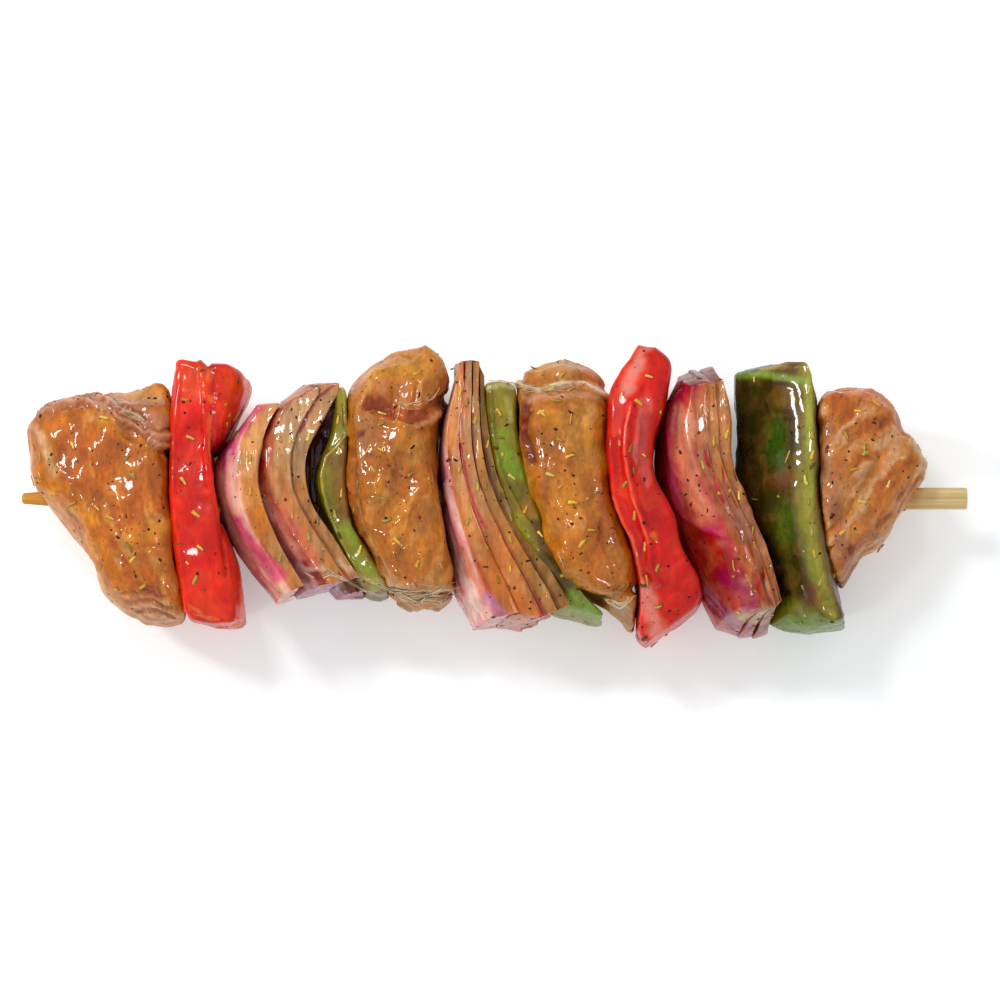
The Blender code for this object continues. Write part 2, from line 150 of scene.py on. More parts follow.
def bamboo_stick():
    """Stick as rings of points, with six grooves that run its length."""
    start = -STICK_LENGTH / 2
    steps = [(start, 0.0), (start, 0.7), (start + 0.35, POINT_RADIUS)]
    for x in np.linspace(start + 0.8, start + POINT_LENGTH, 12):
        share = (x - start) / POINT_LENGTH
        steps.append((x, POINT_RADIUS + (STICK_RADIUS - POINT_RADIUS) * share))
    steps += [(x, STICK_RADIUS) for x in np.linspace(start + 16, -start - 1, 90)]
    steps += [(-start - SAWN_EDGE, STICK_RADIUS), (-start - 0.08, STICK_RADIUS - 0.12)]
    steps += [(-start, STICK_RADIUS - SAWN_EDGE), (-start, 1.1), (-start, 0.0)]
    around = 96
    angles = np.arange(around) * math.tau / around
    groove = 0.085 * np.cos(6 * angles + 0.5) + 0.05 * np.cos(13 * angles + 1.0)
    rings = []
    for x, radius in steps:
        r = radius * (1 - 0.045 * (1 - np.cos(6 * angles + 0.5))) + 0.02 * np.sin(23 * angles)
        r = np.where(radius > 0.9, r, radius)
        sway = 0.06 * math.sin(0.05 * x)
        rings.append(np.stack([np.full(around, x), r * np.cos(angles) * 0.995,
                               STICK_HEIGHT + sway + r * np.sin(angles) * 0.995], 1))
    points = np.concatenate(rings)
    ring = np.arange(around)
    faces = []
    for k in range(len(steps) - 1):
        a = k * around + ring
        b = k * around + (ring + 1) % around
        faces.append(np.stack([a, a + around, b + around, b], 1)[:, ::-1])
    faces = np.concatenate(faces)
    x = points[:, 0]
    streak = np.tile(groove / 0.13, len(steps))
    grain = noise(points * [0.06, 1, 1], 0.55, 3)
    colours = np.array([0.97, 0.85, 0.60]) + 0.045 * np.stack([streak + grain] * 3, 1)
    colours *= 1 + 0.03 * noise(points * [0.2, 1, 1], 3, 5)[:, None]
    stain = 1 / (1 + np.exp((x + 88) / 3))[:, None]
    colours = colours * (1 - stain) + np.array([0.88, 0.62, 0.22]) * stain
    wet = np.exp(-((x - 89) / 2.5) ** 2)[:, None] * 0.35
    colours = colours * (1 - wet) + np.array([0.78, 0.50, 0.22]) * wet
    sawn = (x > STICK_LENGTH / 2 - 0.05)[:, None]
    colours = np.where(sawn, colours * 0.93, colours)
    made = new_object("bamboo_stick", new_mesh("bamboo_stick", points, faces, colours),
                      bamboo_material())
    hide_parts("skewer")


bamboo_stick()

# Chicken chunk at the point
# Raw breast cut in a thick wedge, wet with an orange marinade. A flap of paler
# meat lies behind its top edge, and folds of skinny membrane run along the back and front.
FOOD_HEIGHT = 36.0
HALF_GAP = 0.04
SHOULDER = 0.55
CHICKEN_ROUNDING = 4.2
CHICKEN_LUMP = 0.7
FOODS = []
PHOTO_MM = 0.215
PHOTO_PIXELS = 1000
MIDDLE_COLUMN, MIDDLE_ROW = 494.5, 498.5
PLAN_SHARE, HEIGHT_SHARE = 0.9925, 0.1219
CHICKEN_1_LEFT = [(-26, -78.6, -1.5), (-19.5, -83.2, -1), (-12.5, -86.2, -1), (-4.2, -92.4, -1),
                  (1.5, -97.4, -0.5), (10, -99.3, -1), (17.5, -99.5, -1)]
CHICKEN_1_RIGHT = [(-28.5, -65, 0), (-16.5, -68, 0), (2, -69.5, 0), (13, -69.3, 0), (26, -68.3, 0)]


def along(rows, y, column):
    """Value of a column at each y, on a smooth curve through the rows."""
    ys = np.array([row[0] for row in rows], float)
    vs = np.array([row[column] for row in rows], float)
    slopes = np.gradient(vs, ys)
    y = np.clip(y, ys[0], ys[-1])
    i = np.clip(np.searchsorted(ys, y, side="right") - 1, 0, len(ys) - 2)
    span = ys[i + 1] - ys[i]
    t = (y - ys[i]) / span
    start = (1 + 2 * t) * (1 - t) ** 2 * vs[i] + t * (1 - t) ** 2 * span * slopes[i]
    end = t * t * (3 - 2 * t) * vs[i + 1] - t * t * (1 - t) * span * slopes[i + 1]
    return start + end


def side(rows, y, z, shoulder=SHOULDER):
    """X of a piece's side at y and z, swollen at half height; a low shoulder is a flat one."""
    t = (FOOD_HEIGHT - z) / FOOD_HEIGHT
    swell = np.where(t < 0.5, np.maximum(1 - (2 * t - 1) ** 2, 0) ** shoulder, 1 - 0.6 * (2 * t - 1) ** 2)
    return along(rows, y, 1) + along(rows, y, 2) * swell


def ripple(x, y, seed):
    """Slow uneven wave between about -1 and 1, for the lumps of the chicken."""
    a = np.sin(0.31 * x + 0.17 * y + seed) * np.sin(0.11 * x - 0.37 * y + 2.1 * seed)
    return 0.75 * a + 0.4 * np.sin(0.57 * x - 0.29 * y + 1.7 * seed)


def on_photo(x, y, z):
    """Column and row at which the photo, taken from 83 degrees up, shows a place."""
    return (MIDDLE_COLUMN + x / PHOTO_MM,
            MIDDLE_ROW - (PLAN_SHARE * y + HEIGHT_SHARE * (z - STICK_HEIGHT)) / PHOTO_MM)


def vertex_normals(mesh):
    """Outward direction at each vertex of a mesh."""
    normals = np.zeros(len(mesh.vertices) * 3, np.float32)
    mesh.vertex_normals.foreach_get("vector", normals)
    return normals.reshape(-1, 3).astype(float)


class Food:
    """Surface of one piece: a fine grid over a rounded block, with its relief and its colours.

    Relief is pushed along the normals, and colours are laid one over the other. Both take
    masks, whose places are read off the photo: pixels of 0.215 mm, right and down."""

    def __init__(self, left, right, front, back, height, rounding, tilt=0.0, crown=0.0,
                 end_swell=0.0, tuck=0.0, lift=0.0, free_left=0.0, free_right=0.0, lump=0.0,
                 seed=0.0, shoulders=(SHOULDER, SHOULDER), cells=(24, 150, 46)):
        self.left, self.right = left, right
        self.front, self.back = front, back
        self.height, self.tilt, self.crown = height, tilt, crown
        self.end_swell, self.tuck, self.lift = end_swell, tuck, lift
        self.free_left, self.free_right = free_left, free_right
        self.lump, self.seed, self.shoulders = lump, seed, shoulders
        y_mid = (np.mean(front) + np.mean(back)) / 2
        width = along(right, y_mid, 1) - along(left, y_mid, 1)
        length = np.mean(back) - np.mean(front)
        self.half = np.array([width / 2, length / 2, along(height, y_mid, 1) / 2])
        self.rounding = min(rounding, 0.95 * self.half.min())
        block, self.faces = self.grid(cells)
        self.points, flat = self.bend(block)
        self.u, self.s, self.w = flat.T
        self.top = np.clip(((self.w - 1) * self.half[2] + self.rounding) / self.rounding, 0, 1)
        mesh = new_mesh("trial", self.points, self.faces, None)
        self.normals = vertex_normals(mesh)
        bpy.data.meshes.remove(mesh)
        x, y, z = self.points.T
        self.plan = np.stack(on_photo(x, y, z), 1)
        self.wobble = sum(share * np.stack([noise(self.points, size, seed),
                                            noise(self.points, size, seed + 1)], 1)
                          for share, size, seed in ((1, 4.0, 11), (0.6, 1.6, 13), (0.3, 0.8, 15)))
        self.relief = np.zeros(len(self.points))
        self.colours = np.zeros((len(self.points), 3))

    def grid(self, cells):
        """Block places of a closed grid, finer at the rounded edges, and its quads."""
        knots = []
        for half, count in zip(self.half, cells):
            edge = 1 - self.rounding / half
            corner = np.linspace(edge, 1, 6)[1:]
            knots.append(np.concatenate([-corner[::-1], np.linspace(-edge, edge, count + 1), corner]))
        sizes = [len(k) for k in knots]
        quads = []
        for axis in range(3):
            a, b = (axis + 1) % 3, (axis + 2) % 3
            grid = np.meshgrid(np.arange(sizes[a] - 1), np.arange(sizes[b] - 1), indexing="ij")
            for end in (0, sizes[axis] - 1):
                corners = []
                for da, db in ((0, 0), (1, 0), (1, 1), (0, 1)):
                    index = [0, 0, 0]
                    index[axis] = end
                    index[a] = grid[0] + da
                    index[b] = grid[1] + db
                    code = (index[0] * sizes[1] + index[1]) * sizes[2] + index[2]
                    corners.append(code + 0 * grid[0])
                if end == 0:
                    corners.reverse()
                quads.append(np.stack(corners, -1).reshape(-1, 4))
        codes, faces = np.unique(np.concatenate(quads), return_inverse=True)
        i, rest = np.divmod(codes, sizes[1] * sizes[2])
        j, k = np.divmod(rest, sizes[2])
        return np.stack([knots[0][i], knots[1][j], knots[2][k]], 1), faces.reshape(-1, 4)

    def bend(self, block):
        """Places in the kebab of places in the block, and the rounded block places."""
        flat = block * self.half
        inner = self.half - self.rounding
        core = np.clip(flat, -inner, inner)
        offset = flat - core
        reach = np.maximum(np.linalg.norm(offset, axis=1, keepdims=True), 1e-9)
        flat = core + offset * np.where(reach > 1e-8, self.rounding / reach, 0)
        u, s, w = (flat / self.half).T
        near = np.interp(u, np.linspace(-1, 1, len(self.front)), self.front)
        far = np.interp(u, np.linspace(-1, 1, len(self.back)), self.back)
        y = near + (far - near) * (s + 1) / 2
        under = np.maximum(-w, 0) ** 2
        y = y + s * (self.end_swell * (1 - w * w) - self.tuck * under)
        rise = (w + 1) / 2
        foot = self.lift * s ** 4
        top = along(self.height, y, 1) + self.tilt * u + self.crown * (1 - u * u)
        z = foot + rise * (top - foot)
        level = z * FOOD_HEIGHT / np.maximum(top, 1)
        x_left = side(self.left, y, level, self.shoulders[0]) + HALF_GAP + self.free_left * under
        x_right = side(self.right, y, level, self.shoulders[1]) - HALF_GAP - self.free_right * under
        x = x_left + (x_right - x_left) * (u + 1) / 2
        z = z + rise * self.lump * ripple(x, y, self.seed)
        y = y + 0.8 * self.lump * ripple(z + 9, x, self.seed) * np.abs(s) ** 6
        return np.stack([x, y, np.maximum(z, 0)], 1), np.stack([u, s, w], 1)

    def noise(self, size, seed, stretch=(1, 1, 1)):
        """Noise over the piece, in lumps of the given size; stretch above 1 draws them out."""
        return noise(self.points / np.array(stretch, float), size, seed)

    def line(self, path, width, rough=0.0):
        """Soft mask along a path on the photo."""
        plan = self.plan + rough * self.wobble
        nearest = np.full(len(plan), 1e9)
        for a, b in zip(path, path[1:]):
            a, b = np.array(a, float), np.array(b, float)
            t = np.clip((plan - a) @ (b - a) / max((b - a) @ (b - a), 1e-9), 0, 1)
            nearest = np.minimum(nearest, np.linalg.norm(plan - a - t[:, None] * (b - a), axis=1))
        return np.exp(-(nearest / width) ** 3)

    def oval(self, x, y, across, down, turn, rough):
        """Places along and across a turned oval, as shares of its two reaches."""
        plan = self.plan + rough * self.wobble - [x, y]
        c, s = math.cos(turn), math.sin(turn)
        return (plan[:, 0] * c + plan[:, 1] * s) / across, (plan[:, 1] * c - plan[:, 0] * s) / down

    def blob(self, x, y, across, down, turn=0.0, rough=0.0):
        """Soft mask of an oval on the photo."""
        a, b = self.oval(x, y, across, down, turn, rough)
        return np.exp(-(a * a + b * b) ** 2)

    def streaks(self, width, length, turn, seed):
        """Noise drawn out into streaks, turned from the kebab's cross direction."""
        c, s = math.cos(turn), math.sin(turn)
        sway = 0.8 * self.wobble[:, 0]
        x, y, z = self.points.T
        return noise(np.stack([x * c + y * s + sway, (y * c - x * s) * width / length, z], 1), width, seed)

    def glint(self, x, y, across, down, turn=0.0, slope=0.42):
        """Raise a patch on the photo into a slope that faces the left light."""
        a, b = self.oval(x, y, across, down, turn, 0.6)
        self.push(slope * across * PHOTO_MM * np.tanh(a) * np.exp(-(a * a / 6 + b * b) ** 1.5))

    def facing(self, axis, low, high):
        """Mask that rises as the surface turns towards an axis, from low to high."""
        axis = np.array(axis, float) / np.linalg.norm(axis)
        t = np.clip((self.normals @ axis - low) / (high - low), 0, 1)
        return t * t * (3 - 2 * t)

    def push(self, amount):
        """Add relief in millimetres, outward where positive."""
        self.relief = self.relief + amount

    def lay(self, colour, mask=1.0):
        """Lay a colour over the piece where the mask is."""
        mask = np.clip(np.broadcast_to(mask, len(self.points)), 0, 1)[:, None]
        self.colours = self.colours * (1 - mask) + np.array(colour) * mask

    def spot(self, colour, share, *oval):
        """Lay a share of a colour on an oval."""
        self.lay(colour, share * self.blob(*oval))

    def stroke(self, colour, share, *path):
        """Lay a share of a colour along a path."""
        self.lay(colour, share * self.line(*path))

    def build(self, name, material, slot, node):
        """Make the piece's object in place of its CAD node."""
        moved = self.points + self.normals * self.relief[:, None]
        moved[:, 2] = np.maximum(moved[:, 2], 0.0)
        wet = 0.22 + 0.78 * self.facing((0, 0, 1), 0.2, 0.75)
        made = new_object(name, new_mesh(name, moved, self.faces, self.colours, wet), material)
        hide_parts(node)
        self.surface = moved
        self.up = vertex_normals(made.data)
        FOODS.append(self)


def wet_material(name, warm, warm_share, lump, lump_depth, fine, fine_depth, stretch,
                 roughness, under, under_share, dust_share, film_depth=0.17, coat=0.9):
    """Wet food: painted colour with mottling, spice dust and uneven gloss under a marinade film."""
    made, tree, shader = new_material(name)
    attribute = add_node(tree, "Attribute", attribute_name="paint")
    paint = attribute.outputs["Color"]
    film_share = add_node(tree, "Math", {0: attribute.outputs["Alpha"], 1: coat}, operation="MULTIPLY")
    place = add_node(tree, "TexCoord").outputs["Object"]
    drawn = add_node(tree, "Mapping", {"Vector": place, "Scale": stretch}).outputs[0]
    lumps = add_node(tree, "TexNoise", {"Vector": drawn, "Scale": 1000 / lump, "Detail": 5.0,
                                        "Roughness": 0.55}).outputs[0]
    grain = add_node(tree, "TexNoise", {"Vector": drawn, "Scale": 1000 / fine, "Detail": 3.0,
                                        "Roughness": 0.6}).outputs[0]
    cloud = add_node(tree, "TexNoise", {"Vector": place, "Scale": 210.0, "Detail": 4.0,
                                        "Distortion": 0.6}).outputs[0]
    share = add_node(tree, "MapRange", {"Value": cloud, "From Min": 0.45, "From Max": 0.68,
                                        "To Min": 0.0, "To Max": warm_share}).outputs[0]
    tinted = add_node(tree, "Mix", {0: share, 6: paint, 7: (*linear(warm), 1)},
                      data_type="RGBA", blend_type="MIX").outputs[2]
    shade = add_node(tree, "MapRange", {"Value": lumps, "From Min": 0.32, "From Max": 0.68,
                                        "To Min": 0.78, "To Max": 1.2}).outputs[0]
    fleck = add_node(tree, "MapRange", {"Value": grain, "From Min": 0.3, "From Max": 0.7,
                                        "To Min": 0.85, "To Max": 1.12}).outputs[0]
    shade = add_node(tree, "Math", {0: shade, 1: fleck}, operation="MULTIPLY").outputs[0]
    shaded = add_node(tree, "VectorMath", {0: tinted, 1: shade}, operation="MULTIPLY").outputs[0]
    cells = add_node(tree, "TexVoronoi", {"Vector": place, "Scale": 1100.0, "Randomness": 1.0})
    chosen = add_node(tree, "SeparateColor", {0: cells.outputs["Color"]}).outputs[0]
    small = add_node(tree, "MapRange", {"Value": cells.outputs["Distance"], "From Min": 0.15,
                                        "From Max": 0.3, "To Min": 1.0, "To Max": 0.0}).outputs[0]
    rare = add_node(tree, "MapRange", {"Value": chosen, "From Min": 1 - dust_share,
                                       "From Max": 1.01 - dust_share}).outputs[0]
    dust = add_node(tree, "Math", {0: small, 1: rare}, operation="MULTIPLY").outputs[0]
    dust = add_node(tree, "Math", {0: dust, 1: 0.75}, operation="MULTIPLY").outputs[0]
    dusted = add_node(tree, "Mix", {0: dust, 6: shaded, 7: (*linear((0.34, 0.17, 0.09)), 1)},
                      data_type="RGBA", blend_type="MIX").outputs[2]
    gloss = add_node(tree, "MapRange", {"Value": cloud, "From Min": 0.35, "From Max": 0.65,
                                        "To Min": roughness[0], "To Max": roughness[1]}).outputs[0]
    bump = add_node(tree, "Bump", {"Height": lumps, "Strength": 1.0, "Distance": lump_depth * MM})
    bump = add_node(tree, "Bump", {"Height": grain, "Strength": 1.0, "Distance": fine_depth * MM,
                                   "Normal": bump.outputs[0]})
    film = add_node(tree, "TexNoise", {"Vector": place, "Scale": 240.0, "Detail": 2.0}).outputs[0]
    film = add_node(tree, "Bump", {"Height": film, "Strength": 1.0, "Distance": film_depth * MM})
    tree.links.new(dusted, shader.inputs["Base Color"])
    tree.links.new(gloss, shader.inputs["Roughness"])
    tree.links.new(bump.outputs[0], shader.inputs["Normal"])
    tree.links.new(film.outputs[0], shader.inputs["Coat Normal"])
    tree.links.new(film_share.outputs[0], shader.inputs["Coat Weight"])
    shader.inputs["Specular IOR Level"].default_value = 0.1
    shader.inputs["Coat Roughness"].default_value = 0.05
    shader.inputs["Coat IOR"].default_value = 1.42
    shader.inputs["Subsurface Weight"].default_value = under_share
    shader.inputs["Subsurface Radius"].default_value = under
    shader.inputs["Subsurface Scale"].default_value = 0.0016
    return made


chicken_flesh = wet_material(
    "marinated_chicken", warm=(0.84, 0.46, 0.14), warm_share=0.35, lump=3.2, lump_depth=0.28,
    fine=0.8, fine_depth=0.07, stretch=(1, 0.55, 1), roughness=(0.3, 0.48), under=(1.0, 0.5, 0.3),
    under_share=0.3, dust_share=0.1)

chunk = Food(CHICKEN_1_LEFT, CHICKEN_1_RIGHT, [-22.8, -25.6, -25.8, -25.6], [16.5, 18.8, 20.8, 24],
             [(-27, 31), (-10, 34), (8, 34.5), (22, 32)], CHICKEN_ROUNDING, tilt=3, crown=1.2,
             end_swell=1.5, tuck=4, lift=3, free_left=9, lump=CHICKEN_LUMP, seed=1.0,
             cells=(96, 120, 44))


def marinate(meat, turn, seed):
    """Marbling of wet chicken: muscle strands, pale fat and pools of brown and golden marinade."""
    strands = meat.streaks(1.5, 9, turn, seed) + 0.6 * meat.streaks(0.8, 6, turn, seed + 1)
    pools = meat.noise(5, seed + 2) + 0.6 * meat.noise(2.2, seed + 3)
    meat.push(0.07 * strands + 0.16 * pools + 0.05 * meat.noise(1.2, seed + 4))
    meat.lay((0.90, 0.68, 0.42), 0.65 * np.clip(1.3 * strands - 0.2, 0, 1))
    meat.lay((0.66, 0.36, 0.16), 0.45 * np.clip(-1.4 * pools - 0.2, 0, 1))
    meat.lay((0.88, 0.58, 0.20), 0.65 * np.clip(1.4 * pools - 0.3, 0, 1))
    meat.lay((0.66, 0.40, 0.24), 0.4 * np.clip(-1.3 * strands - 0.4, 0, 1))


fold = [(44, 410), (66, 404), (90, 402), (112, 406), (130, 418), (146, 430), (160, 440), (176, 442)]
chunk.push(0.45 * chunk.noise(7, 21))
chunk.push(0.9 * chunk.line(fold, 8, 2) - 0.6 * chunk.line([(x, y + 12) for x, y in fold[2:]], 5, 2))
chunk.push(-1.1 * chunk.blob(150, 394, 34, 10, 0.05, 2))
chunk.lay((0.80, 0.45, 0.17))
chunk.spot((0.76, 0.41, 0.17), 0.7, 150, 500, 34, 60, 0, 8)
chunk.stroke((0.84, 0.52, 0.18), 0.8, [(44, 455), (66, 510), (88, 550), (112, 590)], 20, 6)
chunk.spot((0.80, 0.42, 0.15), 0.6, 90, 460, 40, 30, 0.3, 8)
chunk.spot((0.71, 0.34, 0.14), 0.6, 125, 555, 24, 22, 0, 6)
marinate(chunk, 0.25, 20)
chunk.spot((0.60, 0.24, 0.12), 0.7, 154, 592, 10, 6, 0.2, 3)
chunk.stroke((0.77, 0.52, 0.40), 0.9, fold, 9, 3)
chunk.stroke((0.76, 0.50, 0.40), 0.8, [(118, 396), (140, 410), (160, 424), (176, 428)], 9, 3)
for step, height, tone in ((-8, -0.5, (0.62, 0.36, 0.26)), (-4, 0.35, (0.86, 0.66, 0.54)),
                           (0, -0.45, (0.64, 0.38, 0.30)), (4, 0.35, (0.85, 0.64, 0.52)),
                           (8, -0.4, (0.66, 0.38, 0.26))):
    strand = chunk.line([(x, y + step * (0.4 + x / 180)) for x, y in fold], 1.8, 2.5)
    chunk.push(height * strand)
    chunk.lay(tone, 0.55 * strand)
chunk.spot((0.86, 0.66, 0.42), 0.9, 150, 392, 34, 8, 0.05, 2)
chunk.stroke((0.74, 0.42, 0.24), 0.5, [(122, 394), (150, 404), (176, 408)], 2, 2)
chunk.spot((0.70, 0.38, 0.22), 0.6, 40, 416, 12, 8, 0, 3)
chunk.stroke((0.90, 0.70, 0.44), 0.85, [(92, 565), (106, 592), (124, 610)], 6, 2)
chunk.spot((0.72, 0.46, 0.32), 0.75, 150, 608, 30, 12, 0.1, 4)
for path in ([(126, 594), (148, 590), (172, 597)], [(132, 603), (154, 599), (176, 607)],
             [(140, 612), (160, 608), (180, 616)]):
    strand = chunk.line(path, 1.8, 2)
    chunk.push(-0.5 * strand)
    chunk.lay((0.62, 0.34, 0.22), 0.5 * strand)
    chunk.stroke((0.89, 0.70, 0.54), 0.6, [(x, y + 4) for x, y in path], 1.6, 2)
chunk.stroke((0.76, 0.48, 0.34), 0.6, [(174, 450), (176, 520), (182, 590)], 5, 3)
# Painted highlight: a pale streak along the left edge, where the left light glints.
chunk.stroke((0.93, 0.79, 0.62), 0.75, [(38, 430), (48, 450), (60, 474)], 5, 3)
chunk.glint(46, 445, 9, 16, -0.5)
chunk.glint(57, 468, 6, 14, -0.3)
chunk.glint(159, 474, 5, 14, -0.35, 0.5)
chunk.glint(169, 520, 4, 12, 0.25, 0.5)
chunk.lay((0.85, 0.60, 0.36), 0.6 * chunk.facing((0, 0, -1), -0.3, 0.6))
chunk.build("chicken_chunk_1", chicken_flesh, "raw_chicken", "chicken_1")

# Red pepper slab beside it
# A flat slab of ripe red pepper with smooth skin. Its cut right side widens at the back
# and front, and its inner edge is pale.
PEPPER_ROUNDING = 1.4
RED_1_RIGHT = [(-29.5, -56, 2.5), (-14.5, -58, 3.2), (-7.5, -59.2, 1.9), (2, -60.3, -0.4),
               (7, -60.3, 0), (12.5, -60.1, 3), (18, -60.1, 6), (23, -60.1, 8), (27, -60, 7.5)]
red_flesh = wet_material(
    "red_pepper_flesh", warm=(0.96, 0.30, 0.06), warm_share=0.3, lump=4.5, lump_depth=0.25,
    fine=1.1, fine_depth=0.05, stretch=(1, 0.4, 1), roughness=(0.22, 0.36), under=(1.0, 0.25, 0.12),
    under_share=0.2, dust_share=0.03, film_depth=0.1, coat=0.65)

slab = Food(CHICKEN_1_RIGHT, RED_1_RIGHT, [-27.6, -28.8, -28.8], [28.5, 27.6, 26.6],
            [(-28, 35), (0, 36.6), (27, 36)], PEPPER_ROUNDING, tilt=0.8,
            end_swell=-1, tuck=4, lift=3, shoulders=(SHOULDER, 0.3))
slab.push(0.3 * slab.noise(9, 31) + 0.12 * slab.noise(3, 32))
rim = [(207, 362), (212, 397), (212, 420), (213, 455), (218, 493), (222, 523), (226, 575)]
slab.push(0.35 * slab.line([(181, 372), (177, 420), (175, 500), (182, 560), (191, 608)], 3, 1))
slab.push(0.5 * slab.line([(x - 5, y) for x, y in rim], 3, 0.6)
          - 0.7 * slab.line([(x + 3, y) for x, y in rim], 2, 0.6))
slab.push(0.3 * slab.noise(1.2, 33) * slab.blob(212, 392, 8, 34))
slab.push(-0.4 * slab.blob(196, 470, 12, 60, 0, 3))
slab.lay((0.93, 0.25, 0.05))
slab.spot((0.85, 0.11, 0.04), 0.9, 200, 490, 22, 78, -0.03, 5)
slab.lay((0.89, 0.24, 0.12), 0.5 * np.clip(slab.noise(5, 34, (1, 3, 1)), 0, 1))
slab.spot((0.94, 0.36, 0.14), 0.7, 193, 380, 22, 24, 0, 4)
slab.spot((0.88, 0.30, 0.16), 0.6, 212, 612, 18, 14, 0, 4)
slab.lay((0.99, 0.28, 0.03), 0.9 * slab.facing((1, 0, 0), 0.2, 0.7))
# Painted shade: a dark red line in the groove right of the rim.
slab.stroke((0.70, 0.10, 0.06), 0.7, [(x + 5, y) for x, y in rim], 3, 1.5)
slab.spot((1.0, 0.34, 0.06), 0.9, 236, 392, 18, 30, 0, 4)
# A pale pink line along the rim: the pale inner edge, with a painted highlight on it.
slab.stroke((0.96, 0.56, 0.44), 0.6, rim[:4], 2.2, 1.5)
slab.lay((0.90, 0.26, 0.12), 0.7 * slab.facing((0, 1, 0), 0.4, 0.8))
slab.lay((0.88, 0.20, 0.10), 0.8 * slab.facing((0, -1, 0), 0.4, 0.8))
slab.stroke((0.94, 0.62, 0.46), 0.55, [(194, 606), (206, 614), (222, 616)], 1.8, 2)
slab.spot((0.80, 0.50, 0.28), 0.8, 211, 627, 11, 4, 0.1, 2)
slab.build("red_pepper_slab_1", red_flesh, "red_pepper", "red_pepper_1")

# First onion wedge, three petals and the core beside them
# Petals of red onion that have parted a little. Each shows its glossy pink skin on the
# left and its cut edge on top, brown with marinade.
ONION_ROUNDING = 0.2
ONION_1A_LEFT = [(-22.5, -42.5, -4.5), (-11, -50, -5.6), (2, -54.1, -6.2), (7, -54.1, -5.9),
                 (12.5, -53, -3.6), (19, -49.6, -1.6)]
ONION_1A_RIGHT = [(-22.5, -39.2, -3.4), (-11, -45.9, -5.2), (2, -50.2, -6.3), (7, -50, -5.8),
                  (13, -48.3, -4), (19, -45.5, -2.5)]
ONION_1B_LEFT = [(-22.5, -33.2, -8.4), (-10, -41.8, -8.6), (0, -46.8, -8.5), (7.5, -47.8, -7.3),
                 (16, -45.7, -4), (20.5, -42.7, -3)]
ONION_1C_RIGHT = [(-22, -26, -7.7), (-15, -31, -8.6), (-10, -34.3, -9), (-5, -37.8, -9.4),
                  (3.5, -40.1, -9.6), (11, -38.6, -8.6), (16, -35.8, -7), (21, -33, -6)]
GREEN_1_LEFT = [(-23, -25, -1.3), (-13.5, -31.7, -1.5), (-5, -35.4, -1.5), (3, -37.3, -1.5),
                (8, -36.2, -1.5), (12, -34.9, -1), (22.5, -33.6, -0.5)]


def layer_side(left, right, share):
    """Rows for a boundary that lies between two sides, at a share of the way across."""
    ys = np.linspace(max(left[0][0], right[0][0]), min(left[-1][0], right[-1][0]), 7)
    return [(y, along(left, y, 1) * (1 - share) + along(right, y, 1) * share,
             along(left, y, 2) * (1 - share) + along(right, y, 2) * share) for y in ys]


def moved_side(rows, step):
    """Rows of a side that is moved along X."""
    return [(y, x + step, belly) for y, x, belly in rows]


def petal(left, right, front, back, height, skin, stripe, cut_back, cut_front, seed,
          stripe_share=0.8, edge=(0.66, 0.24, 0.22), **shape):
    """Onion petal: striped skin on its left, juicy cut edge on top and a dark line between."""
    shape = {"tuck": 4, "lift": 4, **shape}
    made = Food(left, right, front, back, height, ONION_ROUNDING, cells=(16, 150, 46), **shape)
    made.push(0.25 * made.noise(7, 38) + 0.12 * made.noise(3, 39))
    veins = made.noise(1.1, seed + 2, (1, 9, 0.8)) + 0.6 * made.noise(2.4, seed + 3, (1, 8, 0.9))
    made.push(0.05 * veins)
    made.lay(skin)
    made.lay(stripe, stripe_share * np.clip(1.2 * veins, 0, 1))
    made.lay((1.0, 0.88, 0.82), 0.7 * np.clip(-1.1 * veins - 0.2, 0, 1))
    t = np.clip((made.s + 0.6) / 1.2 + 0.25 * made.noise(7, seed + 6), 0, 1)[:, None]
    cut = np.array(cut_front) * (1 - t) + np.array(cut_back) * t
    fibres = made.noise(0.8, seed + 4, (0.6, 12, 1))
    pools = made.noise(3.4, seed + 5, (1, 1.8, 1)) + 0.5 * made.noise(1.5, seed + 7)
    cut = cut * (1 + 0.06 * fibres + 0.07 * pools)[:, None]
    made.lay(cut, made.top)
    made.lay((0.80, 0.46, 0.20), 0.5 * made.top * np.clip(pools - 0.1, 0, 1))
    made.lay((0.92, 0.76, 0.58), 0.45 * made.top * np.clip(-pools - 0.25, 0, 1))
    border = np.exp(-(((made.u + 1) * made.half[0] - 0.25) / 0.28) ** 2) * made.top
    made.lay(edge, 0.7 * border * np.clip(0.4 + made.noise(8, seed + 8), 0, 1))
    ends = 0.85 * (1 - made.top) * made.facing((0, 1, 0), 0.4, 0.85)
    made.lay(0.5 * np.array(cut_back) + 0.5 * np.array(skin), ends)
    made.lay(0.8 * np.array(cut_back), 0.5 * ends * np.clip(made.noise(2.5, seed + 9, (0.4, 1, 4)), 0, 1))
    made.push(-0.06 * made.top * (1 - made.u ** 2) + 0.05 * made.top * (fibres + pools))
    return made


onion_flesh = wet_material(
    "red_onion_flesh", warm=(0.86, 0.50, 0.28), warm_share=0.25, lump=3.0, lump_depth=0.2,
    fine=0.7, fine_depth=0.05, stretch=(1, 0.35, 1), roughness=(0.2, 0.38), under=(1.0, 0.55, 0.45),
    under_share=0.3, dust_share=0.05)

